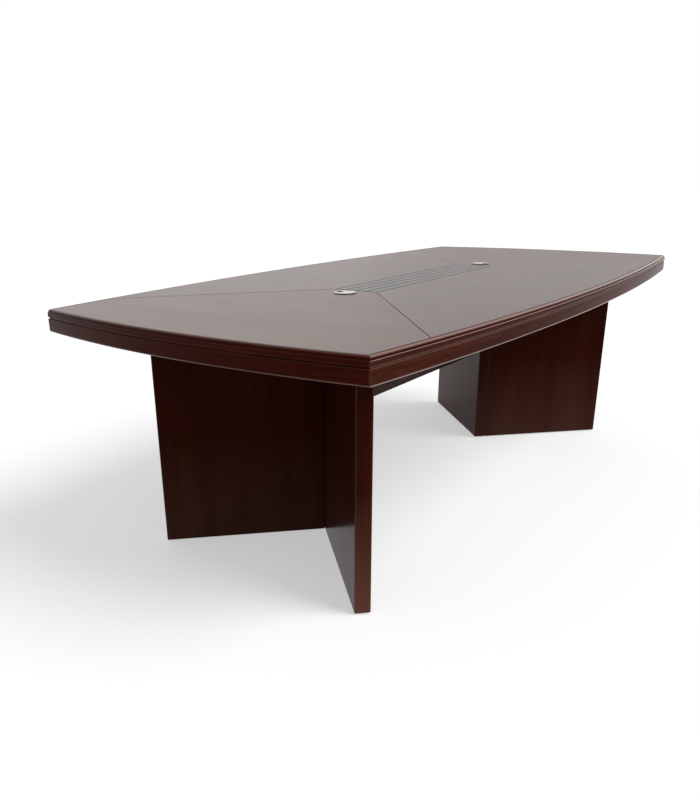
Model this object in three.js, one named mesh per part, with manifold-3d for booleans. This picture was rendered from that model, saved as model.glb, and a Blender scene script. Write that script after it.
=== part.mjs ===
// A boat-shaped conference table on two V pedestals, in millimetres.
// It stands on z = 0 with X along its length, and the origin is under its middle.

import * as THREE from 'three';
import { mergeVertices } from 'three/addons/utils/BufferGeometryUtils.js';
import Module from 'manifold-3d';

const wasm = await Module();
wasm.setup();

// Table top, over all
const TABLE_LENGTH = 2400;
const TABLE_WIDTH = 1200;
const TABLE_HEIGHT = 750;
const END_BOW = 48;
const SIDE_BOW = 68;
const CORNER_RADIUS = 8;

// Layers of the top
const FACING_THICKNESS = 3;
const CORE_THICKNESS = 18;

// Moulded lipping round the core
const OVOLO_RADIUS = 9;
const LEDGE_WIDTH = 2;
const LIPPING_FLAT = 4;
const EASED_ARRIS = 1;

// Skirt that doubles the edge below the lipping
const SKIRT_WIDTH = 30;
const SKIRT_HEIGHT = 41;
const SHADOW_GROOVE_HEIGHT = 5;
const SHADOW_GROOVE_DEPTH = 6;
const SKIRT_ARRIS_RADIUS = 5;

// Veneer pattern of the field
const STRIP_COUNT = 4;
const STRIP_PITCH = 37;
const FIELD_GROOVE = 3;
const MITRE_ANGLE = THREE.MathUtils.degToRad(42);

// Pedestals, each two upright panels at a right angle
const END_OVERHANG = 254;
const SIDE_OVERHANG = 210;
const PANEL_THICKNESS = 44;
const PANEL_ROUND = 4;
const CORNER_BLOCK_LEG = 60;
const CORNER_BLOCK_HEIGHT = 110;
const CORNER_BLOCK_TIP = 8;

// Boards and rails under the core
const MOUNTING_BOARD_THICKNESS = 36;
const MOUNTING_BOARD_MARGIN = 15;
const MOUNTING_BOARD_CORNER = 25;
const RAIL_WIDTH = 70;
const RAIL_SPACING = 640;
const RAIL_THICKNESS = 36;

// Modesty beam between the pedestals
const BEAM_THICKNESS = 26;
const BEAM_DEPTH = 302;
const CLEAT_SIZE = 30;
const CLEAT_MARGIN = 12;
const CLEAT_END_SETBACK = 60;

// Bent steel brackets
const BRACKET_THICKNESS = 3;
const BRACKET_LEAF = 48;
const BRACKET_WIDTH = 40;
const BRACKET_HOLE_RADIUS = 2.75;
const BRACKET_HOLE_PITCH = 22;
const BRACKET_HOLE_SETBACK = 14;
const LEG_BRACKET_INSET = 110;
const BEAM_BRACKET_WIDTH = 90;
const BEAM_BRACKET_HOLE_PITCH = 60;
const BEAM_BRACKET_DROP = 70;

// Nail-on glides under the panels
const GLIDE_RADIUS = 12;
const GLIDE_THICKNESS = 2.5;
const GLIDE_INSET = 60;
const GLIDE_PIN_RADIUS = 2.5;
const GLIDE_PIN_LENGTH = 14;

// Cable grommets on the long axis
const GROMMET_FLANGE_RADIUS = 35;
const GROMMET_FLANGE_THICKNESS = 2.5;
const GROMMET_FLANGE_ROUND = 1.5;
const GROMMET_BARREL_RADIUS = 30;
const GROMMET_BARREL_WALL = 4;
const GROMMET_SEAT_LIP = 1.5;
const CAP_SPIGOT_WALL = 2.5;
const CAP_SPIGOT_DEPTH = 8;
const CAP_RIM_CHAMFER = 0.5;
const CABLE_SLOT_WIDTH = 18;
const CABLE_SLOT_REACH = 20;
const SPINE_TO_GROMMET = 60;
const CABLE_CLEARANCE = 7;

// Clearances, and how far a cutter runs past what it cuts
const SEAT_GAP = 0.3;
const CAP_CLEARANCE = 0.4;
const PIN_CLEARANCE = 0.3;
const CUT_OVERSHOOT = 1;

// Steps that round edges and long curves are drawn in
const SIDE_STEPS = 20;
const END_STEPS = 10;
const CORNER_STEPS = 3;
const ROUND_STEPS = 5;
const SMALL_ROUND_STEPS = 3;
const HOLE_STEPS = 10;
const TURNED_STEPS = 20;
const GROMMET_STEPS = 32;

// Plan arcs of the edges: each bow is an arc of a large circle centred on an axis of the table
const HALF_LENGTH = TABLE_LENGTH / 2;
const HALF_WIDTH = TABLE_WIDTH / 2;
const SIDE_RADIUS = ((HALF_LENGTH - END_BOW) ** 2 + SIDE_BOW ** 2) / (2 * SIDE_BOW);
const END_RADIUS = ((HALF_WIDTH - SIDE_BOW) ** 2 + END_BOW ** 2) / (2 * END_BOW);
const SIDE_CENTRE_Y = HALF_WIDTH - SIDE_RADIUS;
const END_CENTRE_X = HALF_LENGTH - END_RADIUS;

// Levels
const CORE_TOP = TABLE_HEIGHT - FACING_THICKNESS - SEAT_GAP;
const CORE_BOTTOM = CORE_TOP - CORE_THICKNESS;
const UNDERSIDE = CORE_BOTTOM - SEAT_GAP;
const BOARD_BOTTOM = UNDERSIDE - MOUNTING_BOARD_THICKNESS;
const RAIL_BOTTOM = UNDERSIDE - RAIL_THICKNESS;
const BEAM_TOP = Math.min(BOARD_BOTTOM, RAIL_BOTTOM) - SEAT_GAP;
const PANEL_BOTTOM = GLIDE_THICKNESS + SEAT_GAP;
const PANEL_TOP = BOARD_BOTTOM - SEAT_GAP;

// Widths and places that follow from the sizes above
const LIPPING_WIDTH = OVOLO_RADIUS + LEDGE_WIDTH + LIPPING_FLAT;
const CORE_INSET = LIPPING_WIDTH + SEAT_GAP;
const SPINE_HALF_WIDTH = (STRIP_COUNT * STRIP_PITCH) / 2;
const ARM_SPAN = HALF_WIDTH - SIDE_OVERHANG;
const ARM_LENGTH = ARM_SPAN * Math.SQRT2;
const PEDESTAL_DEPTH = (ARM_LENGTH + PANEL_THICKNESS) / Math.SQRT2;
const APEX_X = HALF_LENGTH - END_OVERHANG - PEDESTAL_DEPTH;
const BOARD_INNER_X = APEX_X - MOUNTING_BOARD_MARGIN;
const GROMMET_X = BOARD_INNER_X - CABLE_CLEARANCE - GROMMET_BARREL_RADIUS;
const SPINE_END_X = GROMMET_X - SPINE_TO_GROMMET;
const CENTRE_RAIL_WIDTH = BEAM_THICKNESS + 2 * (SEAT_GAP + CLEAT_SIZE + CLEAT_MARGIN);
const CENTRE_RAIL_END_X = GROMMET_X - GROMMET_BARREL_RADIUS - CABLE_CLEARANCE;

// Finishes
function finish(color, roughness, metalness = 0) {
  return new THREE.MeshStandardMaterial({ color, roughness, metalness, flatShading: true });
}
const lacqueredVeneer = finish(0x4a2318, 0.22);
const lacqueredLipping = finish(0x431a10, 0.2);
const rawBoard = finish(0x6a5238, 0.8);
const blackSteel = finish(0x1c1c1e, 0.5, 0.6);
const satinNickel = finish(0xc9c4b8, 0.3, 1);
const blackNylon = finish(0x141414, 0.6);

// Merges shared corners, drops collapsed triangles and turns the faces outwards.
function weld(geometry) {
  geometry.deleteAttribute('normal');
  geometry.deleteAttribute('uv');
  const merged = mergeVertices(geometry);
  const corner = [0, 1, 2].map(() => new THREE.Vector3());
  const faces = [];
  let volume = 0;
  for (let i = 0; i < merged.index.count; i += 3) {
    const face = [0, 1, 2].map((k) => merged.index.getX(i + k));
    if (new Set(face).size === 3) {
      faces.push(face);
      face.forEach((vertex, k) => corner[k].fromBufferAttribute(merged.attributes.position, vertex));
      volume += corner[0].dot(corner[1].clone().cross(corner[2]));
    }
  }
  merged.setIndex(faces.flatMap((face) => (volume < 0 ? face.reverse() : face)));
  return merged;
}

function toSolid(geometry) {
  const welded = weld(geometry);
  return new wasm.Manifold(
    new wasm.Mesh({
      numProp: 3,
      vertProperties: welded.attributes.position.array,
      triVerts: new Uint32Array(welded.index.array),
    }),
  );
}

function toGeometry(solid) {
  const mesh = solid.getMesh();
  const geometry = new THREE.BufferGeometry();
  geometry.setAttribute('position', new THREE.BufferAttribute(mesh.vertProperties, 3));
  geometry.setIndex(new THREE.BufferAttribute(mesh.triVerts, 1));
  return geometry;
}

function cut(geometry, tools) {
  const solid = tools.reduce((rest, tool) => rest.subtract(toSolid(tool)), toSolid(geometry));
  return toGeometry(solid);
}

function common(geometry, tool) {
  return toGeometry(toSolid(geometry).intersect(toSolid(tool)));
}

// An upright prism over a plan outline, from one level to another.
function prism(points, bottom, top) {
  const shape = new THREE.Shape(points);
  const geometry = new THREE.ExtrudeGeometry(shape, { depth: top - bottom, bevelEnabled: false });
  return geometry.translate(0, 0, bottom);
}

function box(sizeX, sizeY, sizeZ, x, y, z) {
  return new THREE.BoxGeometry(sizeX, sizeY, sizeZ).translate(x, y, z);
}

// An upright round bar or drill, from one level to another.
function rod(radius, steps, bottom, top, x = 0, y = 0) {
  const geometry = new THREE.CylinderGeometry(radius, radius, top - bottom, steps);
  return geometry.rotateX(Math.PI / 2).translate(x, y, (bottom + top) / 2);
}

// A piece turned about Z from a half profile of [radius, level] points.
function turned(profile, steps) {
  const points = profile.map(([radius, level]) => new THREE.Vector2(radius, level));
  return weld(new THREE.LatheGeometry(points, steps).rotateX(Math.PI / 2));
}

// A quarter round from one direction to the next, as [x, y] points about a centre.
function quarterRound(centreX, centreY, radius, startAngle, steps = ROUND_STEPS) {
  return Array.from({ length: steps + 1 }, (_, i) => {
    const angle = startAngle + ((Math.PI / 2) * i) / steps;
    return [centreX + radius * Math.cos(angle), centreY + radius * Math.sin(angle)];
  });
}

// The corner where the side and end arcs meet when the whole outline is drawn in by an inset.
function cornerAt(inset) {
  const side = SIDE_RADIUS - inset;
  const end = END_RADIUS - inset;
  const span = Math.hypot(END_CENTRE_X, SIDE_CENTRE_Y);
  const along = (side ** 2 - end ** 2 + span ** 2) / (2 * span);
  const across = Math.sqrt(side ** 2 - along ** 2);
  const unitX = END_CENTRE_X / span;
  const unitY = -SIDE_CENTRE_Y / span;
  return new THREE.Vector2(unitX * along + unitY * across, SIDE_CENTRE_Y + unitY * along - unitX * across);
}

const CORNER_CENTRE = cornerAt(CORNER_RADIUS);
const END_HALF_ANGLE = Math.atan2(CORNER_CENTRE.y, CORNER_CENTRE.x - END_CENTRE_X);
const SIDE_HALF_ANGLE = Math.atan2(CORNER_CENTRE.x, CORNER_CENTRE.y - SIDE_CENTRE_Y);
const MITRE_NORMAL = (END_HALF_ANGLE + Math.PI / 2 - SIDE_HALF_ANGLE) / 2;

// The two kinds of edge: where its arc is centred, which way it faces and how far its arc reaches.
const END_EDGE = {
  centre: new THREE.Vector2(END_CENTRE_X, 0),
  radius: END_RADIUS,
  facing: 0,
  halfAngle: END_HALF_ANGLE,
  mitre: MITRE_NORMAL,
  steps: END_STEPS,
  firstCorner: new THREE.Vector2(1, -1),
  lastCorner: new THREE.Vector2(1, 1),
};
const SIDE_EDGE = {
  centre: new THREE.Vector2(0, SIDE_CENTRE_Y),
  radius: SIDE_RADIUS,
  facing: Math.PI / 2,
  halfAngle: SIDE_HALF_ANGLE,
  mitre: Math.PI / 2 - MITRE_NORMAL,
  steps: SIDE_STEPS,
  firstCorner: new THREE.Vector2(1, 1),
  lastCorner: new THREE.Vector2(-1, 1),
};

function direction(angle) {
  return new THREE.Vector2(Math.cos(angle), Math.sin(angle));
}

// Points of one edge's arc between its corners, drawn in by an inset.
function arcPoints(edge, inset) {
  return Array.from({ length: edge.steps - 1 }, (_, i) => {
    const angle = edge.facing + edge.halfAngle * ((2 * (i + 1)) / edge.steps - 1);
    return direction(angle).multiplyScalar(edge.radius - inset).add(edge.centre);
  });
}

// Points round one corner: an arc about the corner's centre, or a sharp corner further in.
function cornerPoints(sign, angles, inset) {
  return angles.map((angle) => {
    if (inset >= CORNER_RADIUS) {
      return cornerAt(inset).multiply(sign);
    }
    return direction(angle).multiplyScalar(CORNER_RADIUS - inset).add(CORNER_CENTRE.clone().multiply(sign));
  });
}

function anglesBetween(start, end) {
  return Array.from({ length: CORNER_STEPS + 1 }, (_, i) => start + ((end - start) * i) / CORNER_STEPS);
}

// The line that one point of a moulding's profile follows, from mitre to mitre.
function mouldingLine(edge, inset) {
  const firstAngles = anglesBetween(edge.facing - edge.mitre, edge.facing - edge.halfAngle);
  const lastAngles = anglesBetween(edge.facing + edge.halfAngle, edge.facing + edge.mitre);
  const line = [
    ...cornerPoints(edge.firstCorner, firstAngles, inset),
    ...arcPoints(edge, inset),
    ...cornerPoints(edge.lastCorner, lastAngles, inset),
  ];
  const halfGap = SEAT_GAP / 2;
  line[0].add(direction(firstAngles[0] + Math.PI / 2).multiplyScalar(halfGap));
  line.at(-1).add(direction(lastAngles.at(-1) - Math.PI / 2).multiplyScalar(halfGap));
  return line;
}

// Carries a closed profile of [inset, level] points along one edge and closes both mitred ends.
function moulding(edge, profile) {
  const lines = profile.map(([inset]) => mouldingLine(edge, inset));
  const rowCount = lines[0].length;
  const count = profile.length;
  const positions = [];
  const faces = [];
  for (let row = 0; row < rowCount; row += 1) {
    profile.forEach(([, level], k) => positions.push(lines[k][row].x, lines[k][row].y, level));
  }
  for (let row = 0; row + 1 < rowCount; row += 1) {
    for (let k = 0; k < count; k += 1) {
      const here = row * count + k;
      const next = row * count + ((k + 1) % count);
      faces.push(here, next, next + count, here, next + count, here + count);
    }
  }
  const lastRow = (rowCount - 1) * count;
  const section = profile.map(([inset, level]) => new THREE.Vector2(inset, level));
  for (const [a, b, c] of THREE.ShapeUtils.triangulateShape(section, [])) {
    faces.push(c, b, a);
    faces.push(lastRow + a, lastRow + b, lastRow + c);
  }
  const geometry = new THREE.BufferGeometry();
  geometry.setAttribute('position', new THREE.Float32BufferAttribute(positions, 3));
  geometry.setIndex(faces);
  return weld(geometry);
}

// The whole outline drawn in by an inset, with sharp corners.
function outline(inset) {
  const half = [
    cornerAt(inset).multiply(SIDE_EDGE.firstCorner),
    ...arcPoints(SIDE_EDGE, inset),
    cornerAt(inset).multiply(SIDE_EDGE.lastCorner),
    ...arcPoints(END_EDGE, inset).map((point) => point.negate()),
  ];
  return [...half, ...half.map((point) => point.clone().negate())];
}

// Ovolo, ledge and upright face of the lipping
function lippingProfile() {
  const ovoloEnd = LEDGE_WIDTH + OVOLO_RADIUS;
  const ovoloBottom = TABLE_HEIGHT - OVOLO_RADIUS;
  const ovolo = quarterRound(ovoloEnd, ovoloBottom, OVOLO_RADIUS, Math.PI / 2);
  return [
    [LIPPING_WIDTH, CORE_BOTTOM],
    [LIPPING_WIDTH, TABLE_HEIGHT],
    ...ovolo,
    [EASED_ARRIS, ovoloBottom],
    [0, ovoloBottom - EASED_ARRIS],
    [0, CORE_BOTTOM + EASED_ARRIS],
    [EASED_ARRIS, CORE_BOTTOM],
  ];
}

// Shadow groove, face and rounded lower arris of the skirt
function skirtProfile() {
  const bottom = UNDERSIDE - SKIRT_HEIGHT;
  const faceTop = UNDERSIDE - SHADOW_GROOVE_HEIGHT;
  const arris = quarterRound(SKIRT_ARRIS_RADIUS, bottom + SKIRT_ARRIS_RADIUS, SKIRT_ARRIS_RADIUS, Math.PI);
  return [
    [SKIRT_WIDTH, bottom],
    [SKIRT_WIDTH, UNDERSIDE],
    [SHADOW_GROOVE_DEPTH, UNDERSIDE],
    [SHADOW_GROOVE_DEPTH, faceTop],
    [EASED_ARRIS, faceTop],
    [0, faceTop - EASED_ARRIS],
    ...arris,
  ];
}

const table = new THREE.Group();

function add(parent, name, geometry, material) {
  const mesh = new THREE.Mesh(geometry, material);
  mesh.name = name;
  parent.add(mesh);
  return mesh;
}

// Adds a piece and its twin half a turn round the table's middle.
function addPair(name, geometry, material) {
  add(table, `${name}_1`, geometry, material);
  add(table, `${name}_2`, geometry.clone(), material).rotation.z = Math.PI;
}

// A cutter for the hole that a grommet's barrel goes through.
function grommetHole(bottom, top, x) {
  const radius = GROMMET_BARREL_RADIUS + SEAT_GAP;
  return rod(radius, GROMMET_STEPS, bottom - CUT_OVERSHOOT, top + CUT_OVERSHOOT, x);
}

function addCore() {
  const board = prism(outline(CORE_INSET), CORE_BOTTOM, CORE_TOP);
  const holes = [-1, 1].map((end) => grommetHole(CORE_BOTTOM, CORE_TOP, end * GROMMET_X));
  add(table, 'core_board', cut(board, holes), rawBoard);
}

// Veneered facing panels: two end fields, two side fields and the strips of the spine.
// Each mitre runs from a corner of the spine to a long edge, with half a groove on either side.
function addField() {
  const bottom = TABLE_HEIGHT - FACING_THICKNESS;
  const facing = prism(outline(CORE_INSET), bottom, TABLE_HEIGHT);
  const half = FIELD_GROOVE / 2;
  const reach = TABLE_LENGTH;
  const run = new THREE.Vector2(Math.cos(MITRE_ANGLE), Math.sin(MITRE_ANGLE));

  const endY = SPINE_HALF_WIDTH + (half * (Math.sin(MITRE_ANGLE) - 1)) / Math.cos(MITRE_ANGLE);
  const endStart = new THREE.Vector2(SPINE_END_X + half, endY);
  const endReach = run.clone().multiplyScalar(reach).add(endStart);
  const endSector = [endStart, new THREE.Vector2(endStart.x, -endStart.y)];
  endSector.push(new THREE.Vector2(endReach.x, -endReach.y), endReach);
  const endField = common(facing, prism(endSector, bottom - CUT_OVERSHOOT, TABLE_HEIGHT + CUT_OVERSHOOT));
  const hole = grommetHole(bottom, TABLE_HEIGHT, GROMMET_X);
  addPair('end_field', cut(endField, [hole]), lacqueredVeneer);

  const sideX = SPINE_END_X + (half * (Math.cos(MITRE_ANGLE) - 1)) / Math.sin(MITRE_ANGLE);
  const sideStart = new THREE.Vector2(sideX, SPINE_HALF_WIDTH + half);
  const sideReach = run.clone().multiplyScalar(reach).add(sideStart);
  const sideSector = [sideStart, sideReach];
  sideSector.push(new THREE.Vector2(-sideReach.x, sideReach.y), new THREE.Vector2(-sideStart.x, sideStart.y));
  const sideField = common(facing, prism(sideSector, bottom - CUT_OVERSHOOT, TABLE_HEIGHT + CUT_OVERSHOOT));
  addPair('side_field', sideField, lacqueredVeneer);

  const stripLength = 2 * SPINE_END_X - FIELD_GROOVE;
  for (let i = 0; i < STRIP_COUNT; i += 1) {
    const y = (i + 0.5) * STRIP_PITCH - SPINE_HALF_WIDTH;
    const z = TABLE_HEIGHT - FACING_THICKNESS / 2;
    const strip = box(stripLength, STRIP_PITCH - FIELD_GROOVE, FACING_THICKNESS, 0, y, z);
    add(table, `spine_strip_${i + 1}`, strip, lacqueredVeneer);
  }
}

function addEdges() {
  const lipping = lippingProfile();
  const skirt = skirtProfile();
  addPair('lipping_end', moulding(END_EDGE, lipping), lacqueredLipping);
  addPair('lipping_side', moulding(SIDE_EDGE, lipping), lacqueredLipping);
  addPair('skirt_end', moulding(END_EDGE, skirt), lacqueredLipping);
  addPair('skirt_side', moulding(SIDE_EDGE, skirt), lacqueredLipping);
}

// Boards that carry the pedestals, and the rails that stiffen the core between them
function addUnderside() {
  const outerX = APEX_X + PEDESTAL_DEPTH + MOUNTING_BOARD_MARGIN;
  const halfY = ARM_SPAN + MOUNTING_BOARD_MARGIN;
  const r = MOUNTING_BOARD_CORNER;
  const rounded = [
    ...quarterRound(outerX - r, halfY - r, r, 0),
    ...quarterRound(BOARD_INNER_X + r, halfY - r, r, Math.PI / 2),
    ...quarterRound(BOARD_INNER_X + r, r - halfY, r, Math.PI),
    ...quarterRound(outerX - r, r - halfY, r, 1.5 * Math.PI),
  ].map(([x, y]) => new THREE.Vector2(x, y));
  addPair('mounting_board', prism(rounded, BOARD_BOTTOM, UNDERSIDE), rawBoard);

  const railZ = UNDERSIDE - RAIL_THICKNESS / 2;
  const railLength = 2 * (BOARD_INNER_X - SEAT_GAP);
  const rail = box(railLength, RAIL_WIDTH, RAIL_THICKNESS, 0, RAIL_SPACING / 2, railZ);
  addPair('stiffener_rail', rail, rawBoard);
  const centreRail = box(2 * CENTRE_RAIL_END_X, CENTRE_RAIL_WIDTH, RAIL_THICKNESS, 0, 0, railZ);
  add(table, 'centre_rail', centreRail, rawBoard);
}

// The beam's ends are bird's mouths that fit over the corners of the two pedestals.
function addBeam() {
  const half = BEAM_THICKNESS / 2;
  const mouth = APEX_X - SEAT_GAP * Math.SQRT2;
  const plan = [
    [mouth, 0],
    [mouth + half, half],
    [-mouth - half, half],
    [-mouth, 0],
    [-mouth - half, -half],
    [mouth + half, -half],
  ].map(([x, y]) => new THREE.Vector2(x, y));
  add(table, 'modesty_beam', prism(plan, BEAM_TOP - BEAM_DEPTH, BEAM_TOP), lacqueredVeneer);

  const cleatLength = 2 * (CENTRE_RAIL_END_X - CLEAT_END_SETBACK);
  const cleatTop = RAIL_BOTTOM - SEAT_GAP;
  const cleatY = half + SEAT_GAP + CLEAT_SIZE / 2;
  const cleat = box(cleatLength, CLEAT_SIZE, CLEAT_SIZE, 0, cleatY, cleatTop - CLEAT_SIZE / 2);
  addPair('beam_cleat', cleat, rawBoard);
}

// A steel strip bent through a corner, its leaves lying along 0 degrees and along the bend angle.
// It stands clear of both faces by the seat gap, and each leaf has two screw holes.
function bentBracket(angle, width, holePitch) {
  const mirrored = ([x, y]) => [
    x * Math.cos(angle) + y * Math.sin(angle),
    x * Math.sin(angle) - y * Math.cos(angle),
  ];
  const bend = (offset) => [offset / Math.tan(angle / 2), offset];
  const outer = SEAT_GAP + BRACKET_THICKNESS;
  const leaf = [
    [BRACKET_LEAF, SEAT_GAP],
    [BRACKET_LEAF, outer],
  ];
  const profile = [...leaf, bend(outer), ...leaf.map(mirrored).reverse(), bend(SEAT_GAP)];
  const strip = prism(
    profile.map(([x, y]) => new THREE.Vector2(x, y)),
    -width / 2,
    width / 2,
  );
  const along = BRACKET_LEAF - BRACKET_HOLE_SETBACK;
  const drills = [-1, 1].flatMap((end) => {
    const level = (end * holePitch) / 2;
    const drill = () => {
      const radius = BRACKET_HOLE_RADIUS;
      return new THREE.CylinderGeometry(radius, radius, 2 * (outer + CUT_OVERSHOOT), HOLE_STEPS);
    };
    const [x, y] = mirrored([along, 0]);
    return [drill().translate(along, 0, level), drill().rotateZ(angle).translate(x, y, level)];
  });
  return cut(strip, drills);
}

function addBeamBrackets() {
  const faceAngle = Math.PI / 4;
  const bracket = bentBracket(Math.PI - faceAngle, BEAM_BRACKET_WIDTH, BEAM_BRACKET_HOLE_PITCH);
  const half = BEAM_THICKNESS / 2;
  const level = BEAM_TOP - BEAM_BRACKET_DROP - BEAM_BRACKET_WIDTH / 2;
  const places = [
    [1, 1, faceAngle],
    [-1, 1, 0],
    [-1, -1, Math.PI + faceAngle],
    [1, -1, Math.PI],
  ];
  places.forEach(([endSign, sideSign, turn], i) => {
    const mesh = add(table, `beam_bracket_${i + 1}`, bracket.clone(), blackSteel);
    mesh.position.set(endSign * (APEX_X + half), sideSign * half, level);
    mesh.rotation.z = turn;
  });
}

// An upright panel with rounded edges: length along X, thickness along Y and height along Z.
function uprightPanel(length, start) {
  const height = PANEL_TOP - PANEL_BOTTOM;
  const face = new THREE.Shape([
    new THREE.Vector2(start, 0),
    new THREE.Vector2(start + length, 0),
    new THREE.Vector2(start + length, height),
    new THREE.Vector2(start, height),
  ]);
  const geometry = new THREE.ExtrudeGeometry(face, {
    depth: PANEL_THICKNESS - 2 * PANEL_ROUND,
    bevelThickness: PANEL_ROUND,
    bevelSize: PANEL_ROUND,
    bevelOffset: -PANEL_ROUND,
    bevelSegments: SMALL_ROUND_STEPS,
  });
  return geometry.rotateX(Math.PI / 2).translate(0, PANEL_THICKNESS - PANEL_ROUND, PANEL_BOTTOM);
}

function glide() {
  const top = GLIDE_THICKNESS;
  const shoulder = top / 2;
  return turned(
    [
      [0, 0],
      [GLIDE_RADIUS - shoulder, 0],
      [GLIDE_RADIUS, shoulder],
      [GLIDE_RADIUS, top],
      [GLIDE_PIN_RADIUS, top],
      [GLIDE_PIN_RADIUS, top + GLIDE_PIN_LENGTH],
      [0, top + GLIDE_PIN_LENGTH],
    ],
    TURNED_STEPS,
  );
}

// Two panels meet at the outer corner: the through panel runs past the end of the butted one.
// Inside the corner are a glue block and the brackets that hold the panels to the board above.
function addPedestal(number, endSign) {
  const pedestal = new THREE.Group();
  pedestal.position.x = endSign * APEX_X;
  pedestal.rotation.z = endSign > 0 ? -Math.PI / 4 : 0.75 * Math.PI;
  table.add(pedestal);

  const centre = PANEL_THICKNESS / 2;
  const inside = PANEL_THICKNESS + SEAT_GAP;
  const glideRuns = [inside + GLIDE_INSET, ARM_LENGTH - GLIDE_INSET];
  const sockets = (runs) =>
    runs.map((run) => {
      const top = GLIDE_THICKNESS + GLIDE_PIN_LENGTH + PIN_CLEARANCE;
      return rod(GLIDE_PIN_RADIUS + PIN_CLEARANCE, HOLE_STEPS, 0, top, run, centre);
    });

  const butted = cut(uprightPanel(ARM_LENGTH - inside, inside), sockets(glideRuns));
  const through = cut(uprightPanel(ARM_LENGTH, 0), sockets(glideRuns));
  through.rotateZ(Math.PI / 2).translate(PANEL_THICKNESS, 0, 0);
  add(pedestal, `pedestal_${number}_butted_panel`, butted, lacqueredVeneer);
  add(pedestal, `pedestal_${number}_through_panel`, through, lacqueredVeneer);
  glideRuns.forEach((run, i) => {
    add(pedestal, `pedestal_${number}_glide_${i + 1}`, glide(), blackNylon).position.set(run, centre, 0);
    add(pedestal, `pedestal_${number}_glide_${i + 3}`, glide(), blackNylon).position.set(centre, run, 0);
  });

  const block = [
    [0, 0],
    [CORNER_BLOCK_LEG, 0],
    [CORNER_BLOCK_LEG, CORNER_BLOCK_TIP],
    [CORNER_BLOCK_TIP, CORNER_BLOCK_LEG],
    [0, CORNER_BLOCK_LEG],
  ].map(([x, y]) => new THREE.Vector2(inside + x, inside + y));
  const blockGeometry = prism(block, PANEL_TOP - CORNER_BLOCK_HEIGHT, PANEL_TOP);
  add(pedestal, `pedestal_${number}_corner_block`, blockGeometry, rawBoard);

  const bracketRuns = [inside + CORNER_BLOCK_LEG + LEG_BRACKET_INSET, ARM_LENGTH - LEG_BRACKET_INSET];
  const bracket = bentBracket(Math.PI / 2, BRACKET_WIDTH, BRACKET_HOLE_PITCH).rotateX(-Math.PI / 2);
  bracketRuns.forEach((run, i) => {
    const onThrough = add(pedestal, `pedestal_${number}_bracket_${i + 1}`, bracket.clone(), blackSteel);
    onThrough.position.set(PANEL_THICKNESS, run, BOARD_BOTTOM);
    const onButted = add(pedestal, `pedestal_${number}_bracket_${i + 3}`, bracket.clone(), blackSteel);
    onButted.position.set(run, PANEL_THICKNESS, BOARD_BOTTOM);
    onButted.rotation.z = Math.PI / 2;
  });
}

// A flanged liner pressed into the top, its bore stepped to seat the cap
function grommetLiner() {
  const top = TABLE_HEIGHT + GROMMET_FLANGE_THICKNESS;
  const seat = TABLE_HEIGHT + SEAT_GAP;
  const bore = GROMMET_BARREL_RADIUS - GROMMET_BARREL_WALL;
  const recess = GROMMET_BARREL_RADIUS - GROMMET_SEAT_LIP;
  const round = GROMMET_FLANGE_ROUND;
  return turned(
    [
      [bore, CORE_BOTTOM],
      [GROMMET_BARREL_RADIUS, CORE_BOTTOM],
      [GROMMET_BARREL_RADIUS, seat],
      [GROMMET_FLANGE_RADIUS, seat],
      ...quarterRound(GROMMET_FLANGE_RADIUS - round, top - round, round, 0, SMALL_ROUND_STEPS),
      [recess, top],
      [recess, seat],
      [bore, seat],
      [bore, CORE_BOTTOM],
    ],
    GROMMET_STEPS,
  );
}

// A cap that turns in the liner, with a spigot below and a round-ended cable slot at its rim
function grommetCap(slotAngle) {
  const top = TABLE_HEIGHT + GROMMET_FLANGE_THICKNESS;
  const bottom = TABLE_HEIGHT + SEAT_GAP + CAP_CLEARANCE;
  const rim = GROMMET_BARREL_RADIUS - GROMMET_SEAT_LIP - CAP_CLEARANCE;
  const spigot = GROMMET_BARREL_RADIUS - GROMMET_BARREL_WALL - CAP_CLEARANCE;
  const spigotBottom = bottom - CAP_SPIGOT_DEPTH;
  const disc = turned(
    [
      [0, bottom],
      [spigot - CAP_SPIGOT_WALL, bottom],
      [spigot - CAP_SPIGOT_WALL, spigotBottom],
      [spigot, spigotBottom],
      [spigot, bottom],
      [rim, bottom],
      [rim, top - CAP_RIM_CHAMFER],
      [rim - CAP_RIM_CHAMFER, top],
      [0, top],
    ],
    GROMMET_STEPS,
  );
  const slotEnd = rim - CABLE_SLOT_REACH + CABLE_SLOT_WIDTH / 2;
  const slot = new THREE.Shape();
  slot.moveTo(rim + CUT_OVERSHOOT, -CABLE_SLOT_WIDTH / 2);
  slot.lineTo(rim + CUT_OVERSHOOT, CABLE_SLOT_WIDTH / 2);
  slot.absarc(slotEnd, 0, CABLE_SLOT_WIDTH / 2, Math.PI / 2, 1.5 * Math.PI, false);
  const slotDepth = top - spigotBottom + 2 * CUT_OVERSHOOT;
  const settings = { depth: slotDepth, bevelEnabled: false, curveSegments: HOLE_STEPS };
  const cutter = new THREE.ExtrudeGeometry(slot, settings);
  cutter.translate(0, 0, spigotBottom - CUT_OVERSHOOT).rotateZ(slotAngle);
  return cut(disc, [cutter]);
}

function addGrommets() {
  [-1, 1].forEach((endSign, i) => {
    const liner = add(table, `grommet_liner_${i + 1}`, grommetLiner(), satinNickel);
    liner.position.x = endSign * GROMMET_X;
    const cap = add(table, `grommet_cap_${i + 1}`, grommetCap((-endSign * Math.PI) / 2), satinNickel);
    cap.position.x = endSign * GROMMET_X;
  });
}

addCore();
addField();
addEdges();
addUnderside();
addBeam();
addBeamBrackets();
addPedestal(1, -1);
addPedestal(2, 1);
addGrommets();

export default table;
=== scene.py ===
"""A boat-shaped conference table on two panel pedestals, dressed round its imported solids.

Everything is in metres, in the frame of the solids: X along the table, Z up, the floor at zero.
"""

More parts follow.
